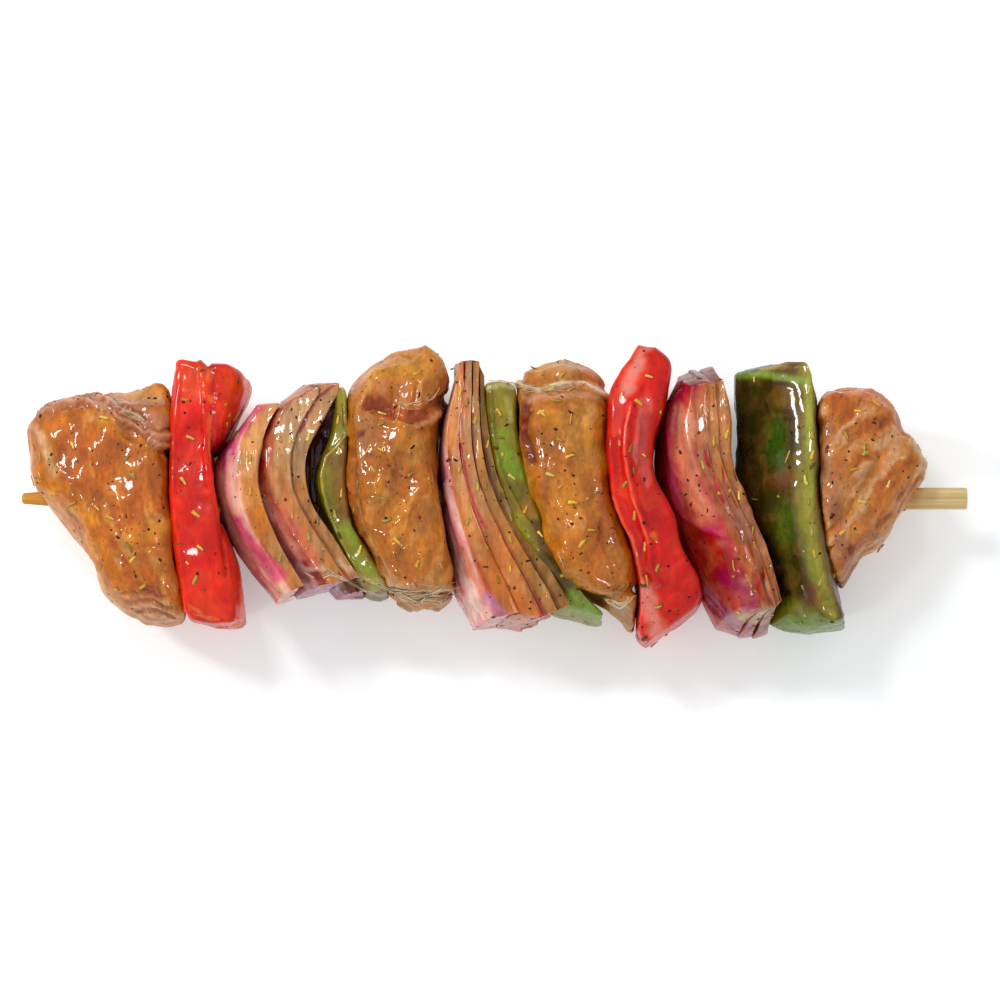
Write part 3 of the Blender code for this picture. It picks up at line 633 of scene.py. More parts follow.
outer = petal(ONION_1A_LEFT, ONION_1A_RIGHT, [-21.8, -20.6], [18, 18.5],
              [(-21, 33.5), (0, 36.5), (18, 34)], skin=(1.0, 0.78, 0.70), stripe=(0.97, 0.50, 0.60),
              cut_back=(0.92, 0.66, 0.40), cut_front=(0.82, 0.50, 0.24), seed=40, end_swell=1.2)
# Painted light: a pale pink-white patch that brightens the skin beside the red pepper.
outer.spot((1.0, 0.78, 0.64), 0.5, 238, 500, 9, 50, -0.1, 5)
outer.stroke((0.92, 0.34, 0.58), 0.85, [(260, 404), (245, 418), (232, 440), (224, 466)], 8, 3)
# Painted sheen: two pale streaks along the skin's shoulder.
outer.stroke((1.0, 0.88, 0.84), 0.7, [(243, 436), (238, 458), (236, 486), (238, 506)], 1.6, 1.5)
outer.stroke((1.0, 0.86, 0.82), 0.6, [(231, 450), (228, 480), (230, 505)], 1.6, 1.5)
outer.glint(238, 452, 2.5, 10, -0.1, 0.4)
outer.glint(239, 497, 2.5, 8, 0.1, 0.4)
outer.stroke((0.92, 0.36, 0.52), 0.8, [(242, 522), (257, 550), (280, 578)], 7, 3)
outer.stroke((0.72, 0.16, 0.28), 0.8, [(226, 532), (244, 564), (270, 596)], 3.5, 1)
outer.stroke((0.60, 0.14, 0.14), 0.6, [(262, 584), (276, 600)], 2.5, 1)
outer.spot((0.93, 0.74, 0.60), 0.6, 284, 592, 10, 10, 0, 3)
outer.build("onion_1_petal_1", onion_flesh, "red_onion", "onion_1_outer")

middle_side = layer_side(ONION_1B_LEFT, ONION_1C_RIGHT, 0.58)
middle = petal(ONION_1B_LEFT, middle_side, [-20.4, -19.6], [19.2, 22.3],
               [(-20, 33), (0, 35.5), (20, 34)], skin=(0.66, 0.28, 0.20), stripe=(0.52, 0.14, 0.14),
               cut_back=(0.86, 0.66, 0.46), cut_front=(0.82, 0.56, 0.34), seed=50, end_swell=1.2)
middle.spot((0.56, 0.22, 0.14), 0.7, 268, 425, 8, 34, 0.3, 4)
middle.stroke((0.95, 0.62, 0.56), 0.7, [(268, 500), (282, 530), (300, 560)], 5, 3)
middle.glint(266, 470, 3.5, 14, 0.1, 0.5)
middle.glint(272, 500, 3, 8, -0.3, 0.5)
middle.stroke((0.92, 0.48, 0.40), 0.7, [(284, 505), (300, 535), (318, 562)], 6, 3)
middle.spot((0.93, 0.78, 0.62), 0.7, 298, 475, 8, 12, 0, 3)
middle.spot((0.72, 0.44, 0.26), 0.6, 288, 486, 6, 18, -0.2, 3)
middle.stroke((0.93, 0.80, 0.70), 0.7, [(298, 568), (312, 572), (326, 566)], 3, 3)
middle.lay((0.76, 0.60, 0.70), 0.9 * middle.facing((0, -1, 0), 0.3, 0.8))
middle.build("onion_1_petal_2", onion_flesh, "red_onion", "onion_1_middle")

inner = petal(middle_side, ONION_1C_RIGHT, [-19.4, -18.8], [22.5, 23],
              [(-20, 32), (0, 34.5), (20, 33.5)], skin=(0.70, 0.42, 0.34), stripe=(0.55, 0.18, 0.20),
              cut_back=(0.80, 0.62, 0.44), cut_front=(0.78, 0.54, 0.32), seed=60, end_swell=1.2,
              edge=(0.70, 0.36, 0.30))
inner.stroke((0.62, 0.22, 0.30), 0.8, [(334, 386), (316, 402), (302, 432)], 1.6, 1)
inner.stroke((0.74, 0.46, 0.26), 0.6, [(300, 480), (312, 515), (334, 548)], 3, 3)
inner.stroke((0.92, 0.80, 0.68), 0.7, [(322, 566), (336, 560), (350, 568)], 3, 3)
inner.lay((0.74, 0.58, 0.68), 0.9 * inner.facing((0, -1, 0), 0.3, 0.8))
inner.build("onion_1_petal_3", onion_flesh, "red_onion", "onion_1_inner")

# The core's cut edges are painted dark maroon: its own purple with painted shade of the deep cavity.
core = petal(moved_side(ONION_1C_RIGHT, 0.4), moved_side(GREEN_1_LEFT, -0.3), [-20.5, -20],
             [21, 21.5], [(-21, 23), (-15, 22), (0, 21.5), (12, 22.5), (20, 28)], skin=(0.50, 0.22, 0.24),
             stripe=(0.36, 0.12, 0.18), cut_back=(0.40, 0.16, 0.18), cut_front=(0.50, 0.26, 0.22),
             seed=70, end_swell=1.0)
# Painted shade: a dark maroon patch over the cavity, on the core's purple.
core.lay((0.40, 0.15, 0.20), core.blob(322, 470, 20, 60, 0, 3))
core.lay((0.72, 0.54, 0.66), 0.95 * core.facing((0, -1, 0), 0.3, 0.8))
core.stroke((0.90, 0.84, 0.80), 0.8, [(338, 590), (346, 578), (358, 584)], 2.5, 2)
core.build("onion_1_core", onion_flesh, "red_onion", "onion_1_core")

# First green pepper strip
# A narrow strip of green pepper, curved, with dull skin on top that the marinade turns
# olive brown, and a fresh green patch near the front.
GREEN_1_RIGHT = [(-23, -20.7, -0.4), (-13.5, -26.8, -0.3), (-6.8, -30, 0), (0, -31.3, 0),
                 (12.6, -31.3, 0), (22.5, -32, 0)]
green_flesh = wet_material(
    "green_pepper_flesh", warm=(0.60, 0.42, 0.16), warm_share=0.26, lump=3.6, lump_depth=0.25,
    fine=0.9, fine_depth=0.05, stretch=(1, 0.5, 1), roughness=(0.2, 0.36), under=(0.7, 0.8, 0.3),
    under_share=0.18, dust_share=0.06, film_depth=0.11)

strip = Food(GREEN_1_LEFT, GREEN_1_RIGHT, [-20.5, -21, -20.5], [22, 22, 21.5],
             [(-21, 31), (0, 34), (22, 34)], PEPPER_ROUNDING, tilt=0.6,
             end_swell=1, tuck=3, lift=3)
strip.push(0.3 * strip.noise(7, 81) + 0.12 * strip.noise(2.5, 82))
ridge = [(343, 384), (346, 400), (346, 418), (348, 434), (338, 446), (326, 458), (322, 474), (324, 494),
         (331, 515), (340, 534), (351, 556), (366, 580)]
strip.push(0.3 * strip.line(ridge, 1.8, 0.6))
strip.lay((0.54, 0.43, 0.16))
strip.lay((0.48, 0.33, 0.15), 0.6 * np.clip(0.4 + strip.noise(5, 83, (1, 2, 1)), 0, 1))
strip.stroke((0.60, 0.60, 0.25), 0.8, [(341, 386), (342, 420), (334, 446)], 6, 3)
strip.stroke((0.50, 0.50, 0.18), 0.8, [(327, 470), (330, 500), (340, 528)], 4, 2)
strip.stroke((0.55, 0.37, 0.18), 0.85, [(350, 445), (346, 480), (352, 515), (362, 535)], 9, 3)
strip.stroke((0.48, 0.33, 0.15), 0.7, [(347, 400), (345, 425)], 3, 2)
strip.stroke((0.58, 0.64, 0.20), 0.95, [(350, 526), (358, 548), (370, 572)], 9, 3)
strip.spot((0.74, 0.76, 0.44), 0.8, 376, 586, 10, 8, 0, 3)
# Painted highlight: a pale line along the skin's edge, where the left light glints.
strip.stroke((0.78, 0.76, 0.40), 0.6, ridge, 1.4, 0.6)
strip.lay((0.44, 0.46, 0.14), 0.8 * strip.facing((-1, 0, 0), 0.6, 0.95))
strip.build("green_pepper_strip_1", green_flesh, "green_pepper", "green_pepper_1")

# Second chicken chunk
# A taller chunk that rises towards the back, where a reddish crease and a thin pale
# membrane cross it. Its front drops to a side of loose pale strands.
CHICKEN_2_RIGHT = [(-24, -8.1, 0), (-17.5, -8.7, 0), (-6.5, -11.3, 0), (0, -12, 0),
                   (11.5, -12.4, 0), (21, -10.4, 0), (27.5, -9.1, 0)]
chunk = Food(GREEN_1_RIGHT, CHICKEN_2_RIGHT, [-21.5, -22, -21.5, -19.5],
             [21.5, 25.5, 28.5, 30.5, 26], [(-22, 35), (-5, 38), (12, 38), (29, 35)],
             CHICKEN_ROUNDING, crown=1, end_swell=2, tuck=3.5, lift=3, lump=CHICKEN_LUMP,
             seed=2.3, cells=(84, 124, 44))
crease = [(372, 404), (392, 414), (410, 420), (428, 416), (446, 400)]
chunk.push(0.4 * chunk.noise(6, 91))
chunk.push(-1.0 * chunk.line(crease, 6, 3) + 0.6 * chunk.line([(x, y + 9) for x, y in crease], 4, 2))
chunk.push(-0.5 * chunk.line([(396, 392), (394, 412)], 3, 2)
           - 0.5 * chunk.line([(420, 388), (414, 412)], 3, 2))
chunk.push(-0.8 * chunk.line([(352, 440), (356, 500), (366, 545), (386, 578)], 4, 2))
chunk.push(0.7 * chunk.line([(396, 572), (420, 580), (455, 586)], 3, 1))
chunk.lay((0.77, 0.47, 0.19))
chunk.spot((0.82, 0.52, 0.20), 0.6, 420, 530, 28, 40, 0, 8)
chunk.spot((0.76, 0.54, 0.26), 0.6, 412, 448, 30, 14, 0, 6)
marinate(chunk, -0.3, 90)
chunk.spot((0.83, 0.60, 0.28), 0.75, 415, 368, 40, 16, -0.3, 5)
chunk.stroke((0.60, 0.26, 0.15), 0.8, crease, 8, 5)
# Pale pink spots on the pink crease: pink meat with painted highlights.
chunk.spot((0.84, 0.58, 0.48), 0.7, 384, 392, 6, 10, 0.1, 3)
chunk.spot((0.82, 0.54, 0.42), 0.7, 404, 398, 8, 14, 0.1, 3)
chunk.stroke((0.87, 0.64, 0.50), 0.75, [(x + 4, y + 7) for x, y in crease], 1.8, 3)
chunk.spot((0.56, 0.24, 0.14), 0.6, 450, 385, 6, 22, 0, 3)
chunk.spot((0.66, 0.46, 0.38), 0.65, 364, 436, 13, 30, 0.1, 5)
chunk.stroke((0.62, 0.37, 0.26), 0.7, [(352, 450), (354, 500), (362, 540), (380, 575)], 6, 3)
chunk.stroke((0.84, 0.66, 0.52), 0.6, [(357, 470), (358, 510), (368, 545), (392, 572)], 1.6, 2)
for step in (0, 6, 12, 18, 24, 30):
    path = [(386, 586 + step), (406, 583 + step), (430, 590 + step), (460, 584 + step)]
    strand = chunk.line(path, 1.7, 3.5)
    chunk.push((-0.45 if step % 12 else 0.45) * strand)
    chunk.lay((0.62, 0.40, 0.24) if step % 12 else (0.92, 0.82, 0.68), 0.75 * strand)
chunk.lay((0.80, 0.64, 0.48), 0.7 * chunk.facing((0, -1, 0.2), 0.45, 0.9))
chunk.spot((0.30, 0.16, 0.10), 0.8, 362, 434, 4, 3, 0.3, 1)
chunk.glint(379, 468, 6, 10, -0.5, 0.5)
chunk.glint(395, 487, 5, 4, 0.4, 0.5)
chunk.glint(402, 515, 4, 5, -0.3, 0.5)
chunk.glint(402, 474, 4, 4, -0.3, 0.5)
chunk.build("chicken_chunk_2", chicken_flesh, "raw_chicken", "chicken_2")

# Second onion wedge, four petals held together
# The left petal shows pale pink skin with magenta stripes; the cut edges on top run from
# tan to olive, with a dark red line between petals.
ONION_2_LEFT = [(-28, 1.2, -6), (-19.5, -2.4, -6.3), (-10, -6.1, -4.3), (0, -8.8, -2.8),
                (11, -10.1, -1.8), (25, -7.8, -1)]
ONION_2_RIGHT = [(-28, 18.4, -5), (-16, 11.5, -4), (-8, 5.9, -3.2), (2, 1.2, -2), (14.5, -1.2, -1.3),
                 (22.5, -2, -0.6)]
edges = [layer_side(ONION_2_LEFT, ONION_2_RIGHT, share) for share in (0.3, 0.58, 0.8)]
wedge = [
    petal(ONION_2_LEFT, edges[0], [-27.4, -26.4], [27.2, 27.8], [(-26, 33), (0, 36), (26, 34)],
          skin=(1.0, 0.80, 0.74), stripe=(0.92, 0.46, 0.56), cut_back=(0.86, 0.58, 0.36),
          cut_front=(0.82, 0.48, 0.24), seed=100, end_swell=1.2),
    petal(edges[0], edges[1], [-26.6, -27.4], [27.8, 28], [(-26, 32.5), (0, 36), (26, 34)],
          skin=(0.74, 0.34, 0.32), stripe=(0.64, 0.18, 0.26), cut_back=(0.82, 0.60, 0.44),
          cut_front=(0.80, 0.50, 0.26), seed=110, end_swell=1.2, edge=(0.72, 0.24, 0.34)),
    petal(edges[1], edges[2], [-27.2, -26], [28, 27.6], [(-26, 32.2), (0, 35.5), (26, 33.5)],
          skin=(0.60, 0.26, 0.24), stripe=(0.50, 0.14, 0.18), cut_back=(0.70, 0.54, 0.36),
          cut_front=(0.72, 0.50, 0.26), seed=120, end_swell=1, edge=(0.52, 0.18, 0.20)),
    petal(edges[2], ONION_2_RIGHT, [-25.6, -24.6], [27, 24.6], [(-26, 31), (0, 34.5), (26, 32.5)],
          skin=(0.44, 0.24, 0.18), stripe=(0.34, 0.10, 0.12), cut_back=(0.52, 0.42, 0.22),
          cut_front=(0.56, 0.40, 0.20), seed=130, end_swell=0.8, edge=(0.38, 0.16, 0.14)),
]
first = wedge[0]
magenta = [(461, 445), (468, 485), (478, 512), (486, 528)]
for layer in wedge[:2]:
    layer.push(-0.25 * layer.line(magenta, 1.2, 0.6))
    layer.stroke((0.78, 0.26, 0.34), 0.8, magenta, 1.5, 0.8)
    layer.glint(459, 440, 2.2, 16, -0.1, 0.4)
    layer.glint(476, 508, 2.2, 14, -0.3, 0.4)
    layer.spot((0.86, 0.52, 0.28), 0.75, 505, 560, 20, 36, -0.35, 5)
    layer.stroke((0.80, 0.42, 0.20), 0.6, [(484, 540), (500, 575), (520, 605)], 6, 4)
first.push(0.4 * first.line([(446, 485), (452, 515), (462, 545)], 3, 1))
first.stroke((0.92, 0.64, 0.42), 0.6, [(462, 385), (450, 415), (446, 440)], 7, 4)
first.stroke((0.90, 0.66, 0.46), 0.7, [(455, 450), (462, 490), (474, 530)], 4, 2)
first.stroke((0.95, 0.50, 0.58), 0.75, [(442, 470), (448, 510), (462, 545)], 6, 2)
# Painted highlight: a pale line along the skin next to the glint.
first.stroke((1.0, 0.84, 0.80), 0.7, [(447, 480), (453, 512), (464, 540)], 1.6, 1)
first.glint(448, 505, 2.5, 14, -0.3, 0.4)
first.stroke((0.88, 0.44, 0.34), 0.6, [(462, 552), (478, 585), (496, 608)], 6, 4)
first.stroke((0.78, 0.54, 0.74), 0.75, [(488, 598), (498, 608), (506, 618)], 6, 2)
first.lay((0.90, 0.66, 0.64), 0.8 * first.facing((0, -1, 0), 0.4, 0.85))
for layer in wedge[1:]:
    layer.lay((0.86, 0.62, 0.58), 0.8 * layer.facing((0, -1, 0), 0.4, 0.85))
    layer.stroke((0.62, 0.22, 0.26), 0.6, [(540, 600), (546, 612), (550, 622)], 3, 3)
for number, layer in enumerate(wedge, 1):
    layer.build(f"onion_2_petal_{number}", onion_flesh, "red_onion", f"onion_2_layer_{number}")

# Second green pepper strip
# A curved strip with a pale rim at the back, yellow green in the middle and dark with
# marinade at the front, where its moist green tip shows.
GREEN_2_RIGHT = [(-29, 26.8, -1.5), (-21, 19.2, -1.5), (-14.5, 13.4, -1.2), (-3.5, 9.6, -1),
                 (5, 6.6, -0.6), (21.5, 4.7, 0)]
strip = Food(ONION_2_RIGHT, GREEN_2_RIGHT, [-24, -25, -26.6], [23.2, 23.6, 22.8],
             [(-26, 28), (-14, 33), (0, 34), (22, 33.5)], PEPPER_ROUNDING, tilt=-0.6,
             end_swell=1, tuck=3, lift=3)
strip.push(0.3 * strip.noise(7, 141) + 0.12 * strip.noise(2.5, 142))
strip.push(0.3 * strip.line([(490, 392), (492, 430), (500, 470), (512, 498), (530, 525)], 2, 1))
strip.lay((0.58, 0.54, 0.20))
strip.lay((0.52, 0.36, 0.17), 0.6 * np.clip(0.1 + strip.noise(5, 143, (1, 2, 1)), 0, 1))
strip.spot((0.62, 0.58, 0.24), 0.7, 500, 405, 10, 20, 0, 3)
strip.stroke((0.56, 0.68, 0.18), 0.9, [(500, 436), (507, 456), (517, 474)], 10, 3)
strip.stroke((0.40, 0.46, 0.12), 0.6, [(491, 400), (494, 440), (506, 480), (524, 510)], 3, 1)
strip.stroke((0.70, 0.66, 0.42), 0.7, [(508, 398), (512, 420)], 3, 1.5)
strip.stroke((0.80, 0.78, 0.58), 0.8, [(486, 388), (502, 384), (520, 388)], 3.5, 1.5)
strip.spot((0.82, 0.44, 0.26), 0.7, 482, 396, 3, 4, 0, 1)
strip.spot((0.74, 0.50, 0.18), 0.8, 528, 508, 9, 12, -0.3, 3)
strip.stroke((0.40, 0.26, 0.13), 0.7, [(536, 525), (542, 545), (550, 560)], 6, 3)
strip.stroke((0.34, 0.30, 0.13), 0.85, [(548, 560), (562, 580), (576, 598)], 9, 4)
strip.stroke((0.52, 0.66, 0.30), 0.95, [(576, 600), (590, 607), (606, 614)], 14, 2)
strip.glint(514, 490, 2.2, 9, -0.5, 0.5)
strip.build("green_pepper_strip_2", green_flesh, "green_pepper", "green_pepper_2")

# Third chicken chunk
# A long chunk that bends to the right at the front. A lobe folds over behind a thin
# pale membrane, and a frayed beige fringe ends it at the front.
CHICKEN_3_RIGHT = [(-29, 31, -0.5), (-17.5, 30.8, -0.7), (-9.5, 28.6, -0.8), (-2, 25.1, -0.5),
                   (6.5, 24, 0), (20, 24.1, 0), (26, 23.4, 0.5)]
chunk = Food(GREEN_2_RIGHT, CHICKEN_3_RIGHT, [-19.5, -22.6, -26.2, -27.6],
             [25.8, 25.7, 27.4, 25.7, 25],
             [(-27, 33), (-10, 37), (12, 37.5), (19, 36), (23, 31.5), (28, 30)],
             CHICKEN_ROUNDING, crown=0.8, end_swell=2, tuck=3.5, lift=3, lump=CHICKEN_LUMP,
             seed=4.1, cells=(72, 130, 44))
skin_line = [(486, 384), (512, 381), (539, 392), (562, 385), (583, 385), (600, 394), (609, 397)]
chunk.push(0.4 * chunk.noise(6, 151))
chunk.push(0.6 * chunk.line(skin_line, 3, 1) - 0.7 * chunk.line([(x, y - 7) for x, y in skin_line], 4, 2))
chunk.push(-1.0 * chunk.line([(528, 400), (526, 430), (530, 462)], 5, 2))
chunk.push(0.8 * chunk.line([(566, 546), (558, 556), (567, 573)], 4, 1))
chunk.push(-0.6 * chunk.line([(590, 480), (600, 520), (612, 560)], 5, 3))
chunk.push(-1.0 * chunk.line([(572, 590), (596, 600), (622, 598), (640, 586)], 4, 1))
chunk.lay((0.76, 0.48, 0.20))
chunk.spot((0.72, 0.42, 0.19), 0.6, 600, 500, 14, 40, 0, 5)
chunk.spot((0.80, 0.57, 0.30), 0.75, 585, 440, 20, 44, 0, 5)
marinate(chunk, -0.1, 150)
chunk.spot((0.80, 0.60, 0.34), 0.8, 560, 370, 40, 10, 0, 4)
chunk.spot((0.74, 0.38, 0.20), 0.6, 590, 376, 16, 8, 0.3, 3)
chunk.stroke((0.93, 0.83, 0.70), 0.9, skin_line, 2.6, 2)
chunk.stroke((0.66, 0.40, 0.22), 0.5, [(x, y + 5) for x, y in skin_line], 2.5, 2)
chunk.stroke((0.42, 0.18, 0.10), 0.8, [(526, 405), (523, 432), (529, 460)], 5, 2)
chunk.stroke((0.72, 0.40, 0.30), 0.6, [(533, 402), (531, 432), (538, 470), (548, 505)], 2, 1.5)
chunk.spot((0.85, 0.50, 0.16), 0.75, 578, 556, 24, 30, -0.4, 5)
chunk.stroke((0.89, 0.60, 0.20), 0.6, [(566, 580), (584, 594), (606, 600)], 4, 2)
chunk.spot((0.66, 0.31, 0.14), 0.6, 606, 500, 10, 30, 0, 5)
chunk.stroke((0.78, 0.60, 0.40), 0.75, [(606, 604), (618, 608), (636, 606)], 7, 3)
chunk.stroke((0.60, 0.44, 0.26), 0.6, [(606, 616), (622, 620), (638, 616)], 4, 3)
chunk.lay((0.76, 0.56, 0.36), 0.6 * chunk.facing((0, -1, 0.1), 0.5, 0.9))
chunk.glint(552, 467, 3.5, 9, -0.1, 0.5)
chunk.glint(559, 507, 9, 18, -0.6, 0.42)
chunk.glint(560, 523, 3.5, 5, 0.3, 0.5)
chunk.glint(561, 560, 4, 14, -0.3, 0.5)
chunk.build("chicken_chunk_3", chicken_flesh, "raw_chicken", "chicken_3")

# Second red pepper, a thick curved slab
# Glossy red skin folds over a long ridge; to the right of it the cut flesh is pinkish
# and carries seeds. Both ends show the pale inside of the wall.
RED_2_RIGHT = [(-33, 37, 0), (-24, 44, 0.5), (-19, 43.2, 0.5), (-14, 40.3, 0.8), (-5, 38.2, 0),
               (2, 34.5, 0.3), (9, 33.9, 0.4), (21, 36.7, 0.6), (28, 38, 0)]
slab = Food(CHICKEN_3_RIGHT, RED_2_RIGHT, [-31, -32.2, -31, -28, -23.6],
            [20.5, 26, 31, 30.6, 27.6], [(-31, 29), (-20, 36), (0, 38), (20, 37), (30, 34)],
            PEPPER_ROUNDING, crown=1, end_swell=-0.5, tuck=3, lift=3, cells=(36, 160, 46))
ridge = [(629, 408), (625, 428), (625, 453), (627, 474), (632, 497), (642, 524), (648, 543), (648, 566),
         (656, 582)]
edge_line = [(610, 440), (611, 474), (613, 497), (623, 522), (632, 539), (640, 566), (642, 584)]
slab.push(0.25 * slab.noise(8, 161) + 0.1 * slab.noise(3, 162))
slab.push(1.0 * slab.line(ridge, 4, 0.4) - 0.6 * slab.blob(643, 435, 8, 50, 0, 2))
slab.push(0.5 * slab.line(edge_line, 2.2, 0.4) - 0.4 * slab.line([(x + 7, y) for x, y in edge_line], 3, 0.4))
slab.push(0.25 * slab.noise(1.6, 163) * slab.blob(642, 450, 9, 50))
slab.lay((0.88, 0.14, 0.05))
slab.stroke((0.85, 0.20, 0.07), 0.8, [(616, 400), (616, 450), (619, 485), (630, 520), (640, 560)], 6, 2)
slab.spot((0.72, 0.11, 0.11), 0.85, 648, 510, 9, 26, -0.3, 3)
slab.stroke((0.87, 0.38, 0.38), 0.9, [(648, 395), (641, 425), (639, 455), (646, 482)], 8, 2.5)
slab.stroke((0.92, 0.52, 0.50), 0.6, [(640, 400), (634, 430), (634, 460)], 2.5, 2)
slab.stroke((0.80, 0.16, 0.14), 0.7, [(656, 385), (652, 440), (652, 470)], 3, 2)
slab.stroke((0.97, 0.64, 0.60), 0.9, [(624, 392), (632, 372), (644, 354)], 9, 2)
slab.stroke((0.86, 0.16, 0.14), 0.8, [(650, 360), (655, 378), (653, 392)], 8, 2)
slab.stroke((0.90, 0.34, 0.32), 0.6, [(664, 362), (668, 378)], 4, 2)
slab.spot((0.84, 0.17, 0.13), 0.8, 672, 582, 22, 26, 0.5, 4)
slab.stroke((0.97, 0.62, 0.58), 0.9, [(644, 592), (648, 612), (656, 634), (664, 640)], 11, 3)
slab.stroke((0.90, 0.22, 0.16), 0.8, [(660, 586), (672, 604), (690, 606)], 9, 3)
# Painted highlights: pale lines along the ridge and the skin's edge.
slab.stroke((1.0, 0.72, 0.64), 0.5, [(x - 1, y) for x, y in ridge[:7]], 1.2, 0.6)
slab.stroke((1.0, 0.70, 0.60), 0.5, edge_line[2:], 1.2, 0.6)
slab.spot((0.88, 0.52, 0.20), 0.8, 652, 536, 5, 5, 0, 1)
slab.push(0.5 * slab.blob(652, 536, 4, 4, 0, 1) + 0.4 * slab.blob(657, 541, 3, 3, 0, 1))
slab.lay((0.88, 0.22, 0.16), 0.7 * slab.facing((1, 0, 0), 0.5, 0.9))
slab.build("red_pepper_slab_2", red_flesh, "red_pepper", "red_pepper_2")

# Third onion wedge, three petals
# Deep maroon skin with a magenta ridge catches the light on the left; the cut edges on
# the right are brown with dark lines.
ONION_3_LEFT = [(-29, 58, -10), (-19, 54.9, -12), (-7.5, 49.8, -11.2), (1, 45.6, -10.3),
                (8, 42.7, -8.2), (18, 42, -6), (25.5, 43.5, -4)]
ONION_3_RIGHT = [(-29, 62.7, -4), (-20.5, 60.7, -3.5), (-11.5, 57.9, -4.5), (-3, 54.1, -4.8),
                 (5.5, 51.1, -4.2), (18, 50.2, -3.2), (24, 48.9, -2.5)]
edges = [layer_side(ONION_3_LEFT, ONION_3_RIGHT, share) for share in (0.4, 0.7)]
wedge = [
    petal(ONION_3_LEFT, edges[0], [-24, -25.4], [22, 22.8], [(-27, 31), (0, 35.5), (25, 34.5)],
          skin=(0.74, 0.24, 0.22), stripe=(0.80, 0.26, 0.36), cut_back=(0.76, 0.38, 0.28),
          cut_front=(0.70, 0.36, 0.20), seed=170, end_swell=4, edge=(0.60, 0.14, 0.22), lift=2),
    petal(edges[0], edges[1], [-25.4, -25], [22.8, 22.6], [(-27, 31), (0, 35.8), (25, 34.5)],
          skin=(0.56, 0.22, 0.18), stripe=(0.44, 0.12, 0.14), cut_back=(0.76, 0.50, 0.30),
          cut_front=(0.70, 0.42, 0.28), seed=180, end_swell=4.5, edge=(0.50, 0.22, 0.16), lift=2),
    petal(edges[1], ONION_3_RIGHT, [-25, -23.8], [22.6, 23.6], [(-27, 31), (0, 35.5), (25, 34)],
          skin=(0.50, 0.26, 0.20), stripe=(0.38, 0.14, 0.14), cut_back=(0.70, 0.45, 0.25),
          cut_front=(0.70, 0.42, 0.26), seed=190, end_swell=5, edge=(0.48, 0.24, 0.16), lift=2),
]
first = wedge[0]
shoulder = [(680, 395), (670, 410), (668, 435), (671, 458), (670, 475), (677, 500), (684, 515), (703, 527),
            (723, 536)]
first.push(0.55 * first.line(shoulder, 4, 0.6))
first.stroke((0.68, 0.23, 0.24), 0.85, [(x - 10, y) for x, y in shoulder], 8, 1)
first.stroke((0.84, 0.26, 0.48), 0.85, shoulder, 3.2, 1)
# Painted light: the skin's lit face is painted pale salmon, with a paler patch for its highlight.
first.stroke((0.94, 0.60, 0.46), 0.85, [(683, 415), (683, 460), (690, 495), (704, 515)], 10, 3)
first.spot((0.94, 0.66, 0.54), 0.6, 688, 430, 6, 24, 0, 3)
first.spot((0.66, 0.16, 0.28), 0.7, 686, 388, 10, 12, 0, 3)
first.stroke((0.76, 0.27, 0.23), 0.85, [(690, 535), (705, 560), (722, 590)], 16, 3)
first.stroke((0.66, 0.18, 0.16), 0.6, [(702, 536), (722, 552), (738, 575)], 6, 3)
first.stroke((0.64, 0.14, 0.34), 0.9, [(722, 578), (738, 590), (748, 602)], 9, 2)
first.stroke((0.70, 0.46, 0.60), 0.7, [(706, 592), (722, 614), (742, 630)], 5, 2)
for step in (-5, 1, 7):
    first.stroke((0.46, 0.16, 0.30), 0.7, [(704 + step, 594), (722 + step, 616), (740 + step, 630)], 1.2, 1)
for layer in wedge:
    layer.lay((0.78, 0.60, 0.63), 0.7 * layer.facing((0, -1, -0.2), 0.35, 0.8))
    layer.lay((0.52, 0.24, 0.24), 0.85 * layer.facing((0, 1, 0), 0.4, 0.8))
    layer.stroke((0.88, 0.80, 0.64), 0.8, [(738, 618), (752, 618), (764, 612)], 6, 3)
    layer.lay((0.62, 0.44, 0.44), 0.5 * layer.top * layer.blob(742, 520, 16, 30, -0.5, 5))
    layer.lay((0.88, 0.62, 0.42), 0.5 * layer.top * layer.blob(716, 430, 12, 40, 0, 5))
    layer.push(0.3 * layer.top * layer.noise(1.6, 197, (1, 4, 1)))
first.glint(681, 440, 5, 16, 0.2, 0.3)
first.glint(690, 462, 4, 12, -0.3, 0.4)
first.glint(687, 487, 3.5, 9, -0.5, 0.4)
for number, layer in enumerate(wedge, 1):
    layer.build(f"onion_3_petal_{number}", onion_flesh, "red_onion", f"onion_3_layer_{number}")

# Third green pepper, a thick curved slab
# Dark skin leans to the left, almost black where it is in shade; the cut wall along its
# right is fresh green, with a tan inner band.
GREEN_3_LEFT = [(-29.5, 70.8, -11.8), (-19, 68, -10), (-7, 65.5, -12.6), (0.5, 65, -13.6),
                (11.5, 66.3, -14.4), (25.5, 65.5, -14)]
GREEN_3_RIGHT = [(-29.5, 74.5, 1), (-16.5, 70.4, 2.5), (-4.5, 68.4, 2.4), (8, 68.6, 0.8),
                 (25.5, 68.3, 0.5)]
slab = Food(GREEN_3_LEFT, GREEN_3_RIGHT, [-27.2, -28.5, -28], [27, 27.4, 27.2, 24.8, 20.5],
            [(-29, 35), (0, 37), (26, 36)], PEPPER_ROUNDING, tilt=0.2,
            end_swell=1, tuck=3, lift=3, shoulders=(0.95, SHOULDER), cells=(36, 160, 46))
slab.push(0.3 * slab.noise(7, 201) + 0.15 * slab.noise(2.5, 202))
skin = 1 - slab.top
brow = [(785, 392), (792, 420), (796, 455), (795, 500), (794, 540), (800, 575), (818, 605)]
slab.push(0.35 * slab.line(brow, 8, 1))
slab.lay((0.66, 0.62, 0.28))
slab.lay((0.31, 0.30, 0.11), skin)
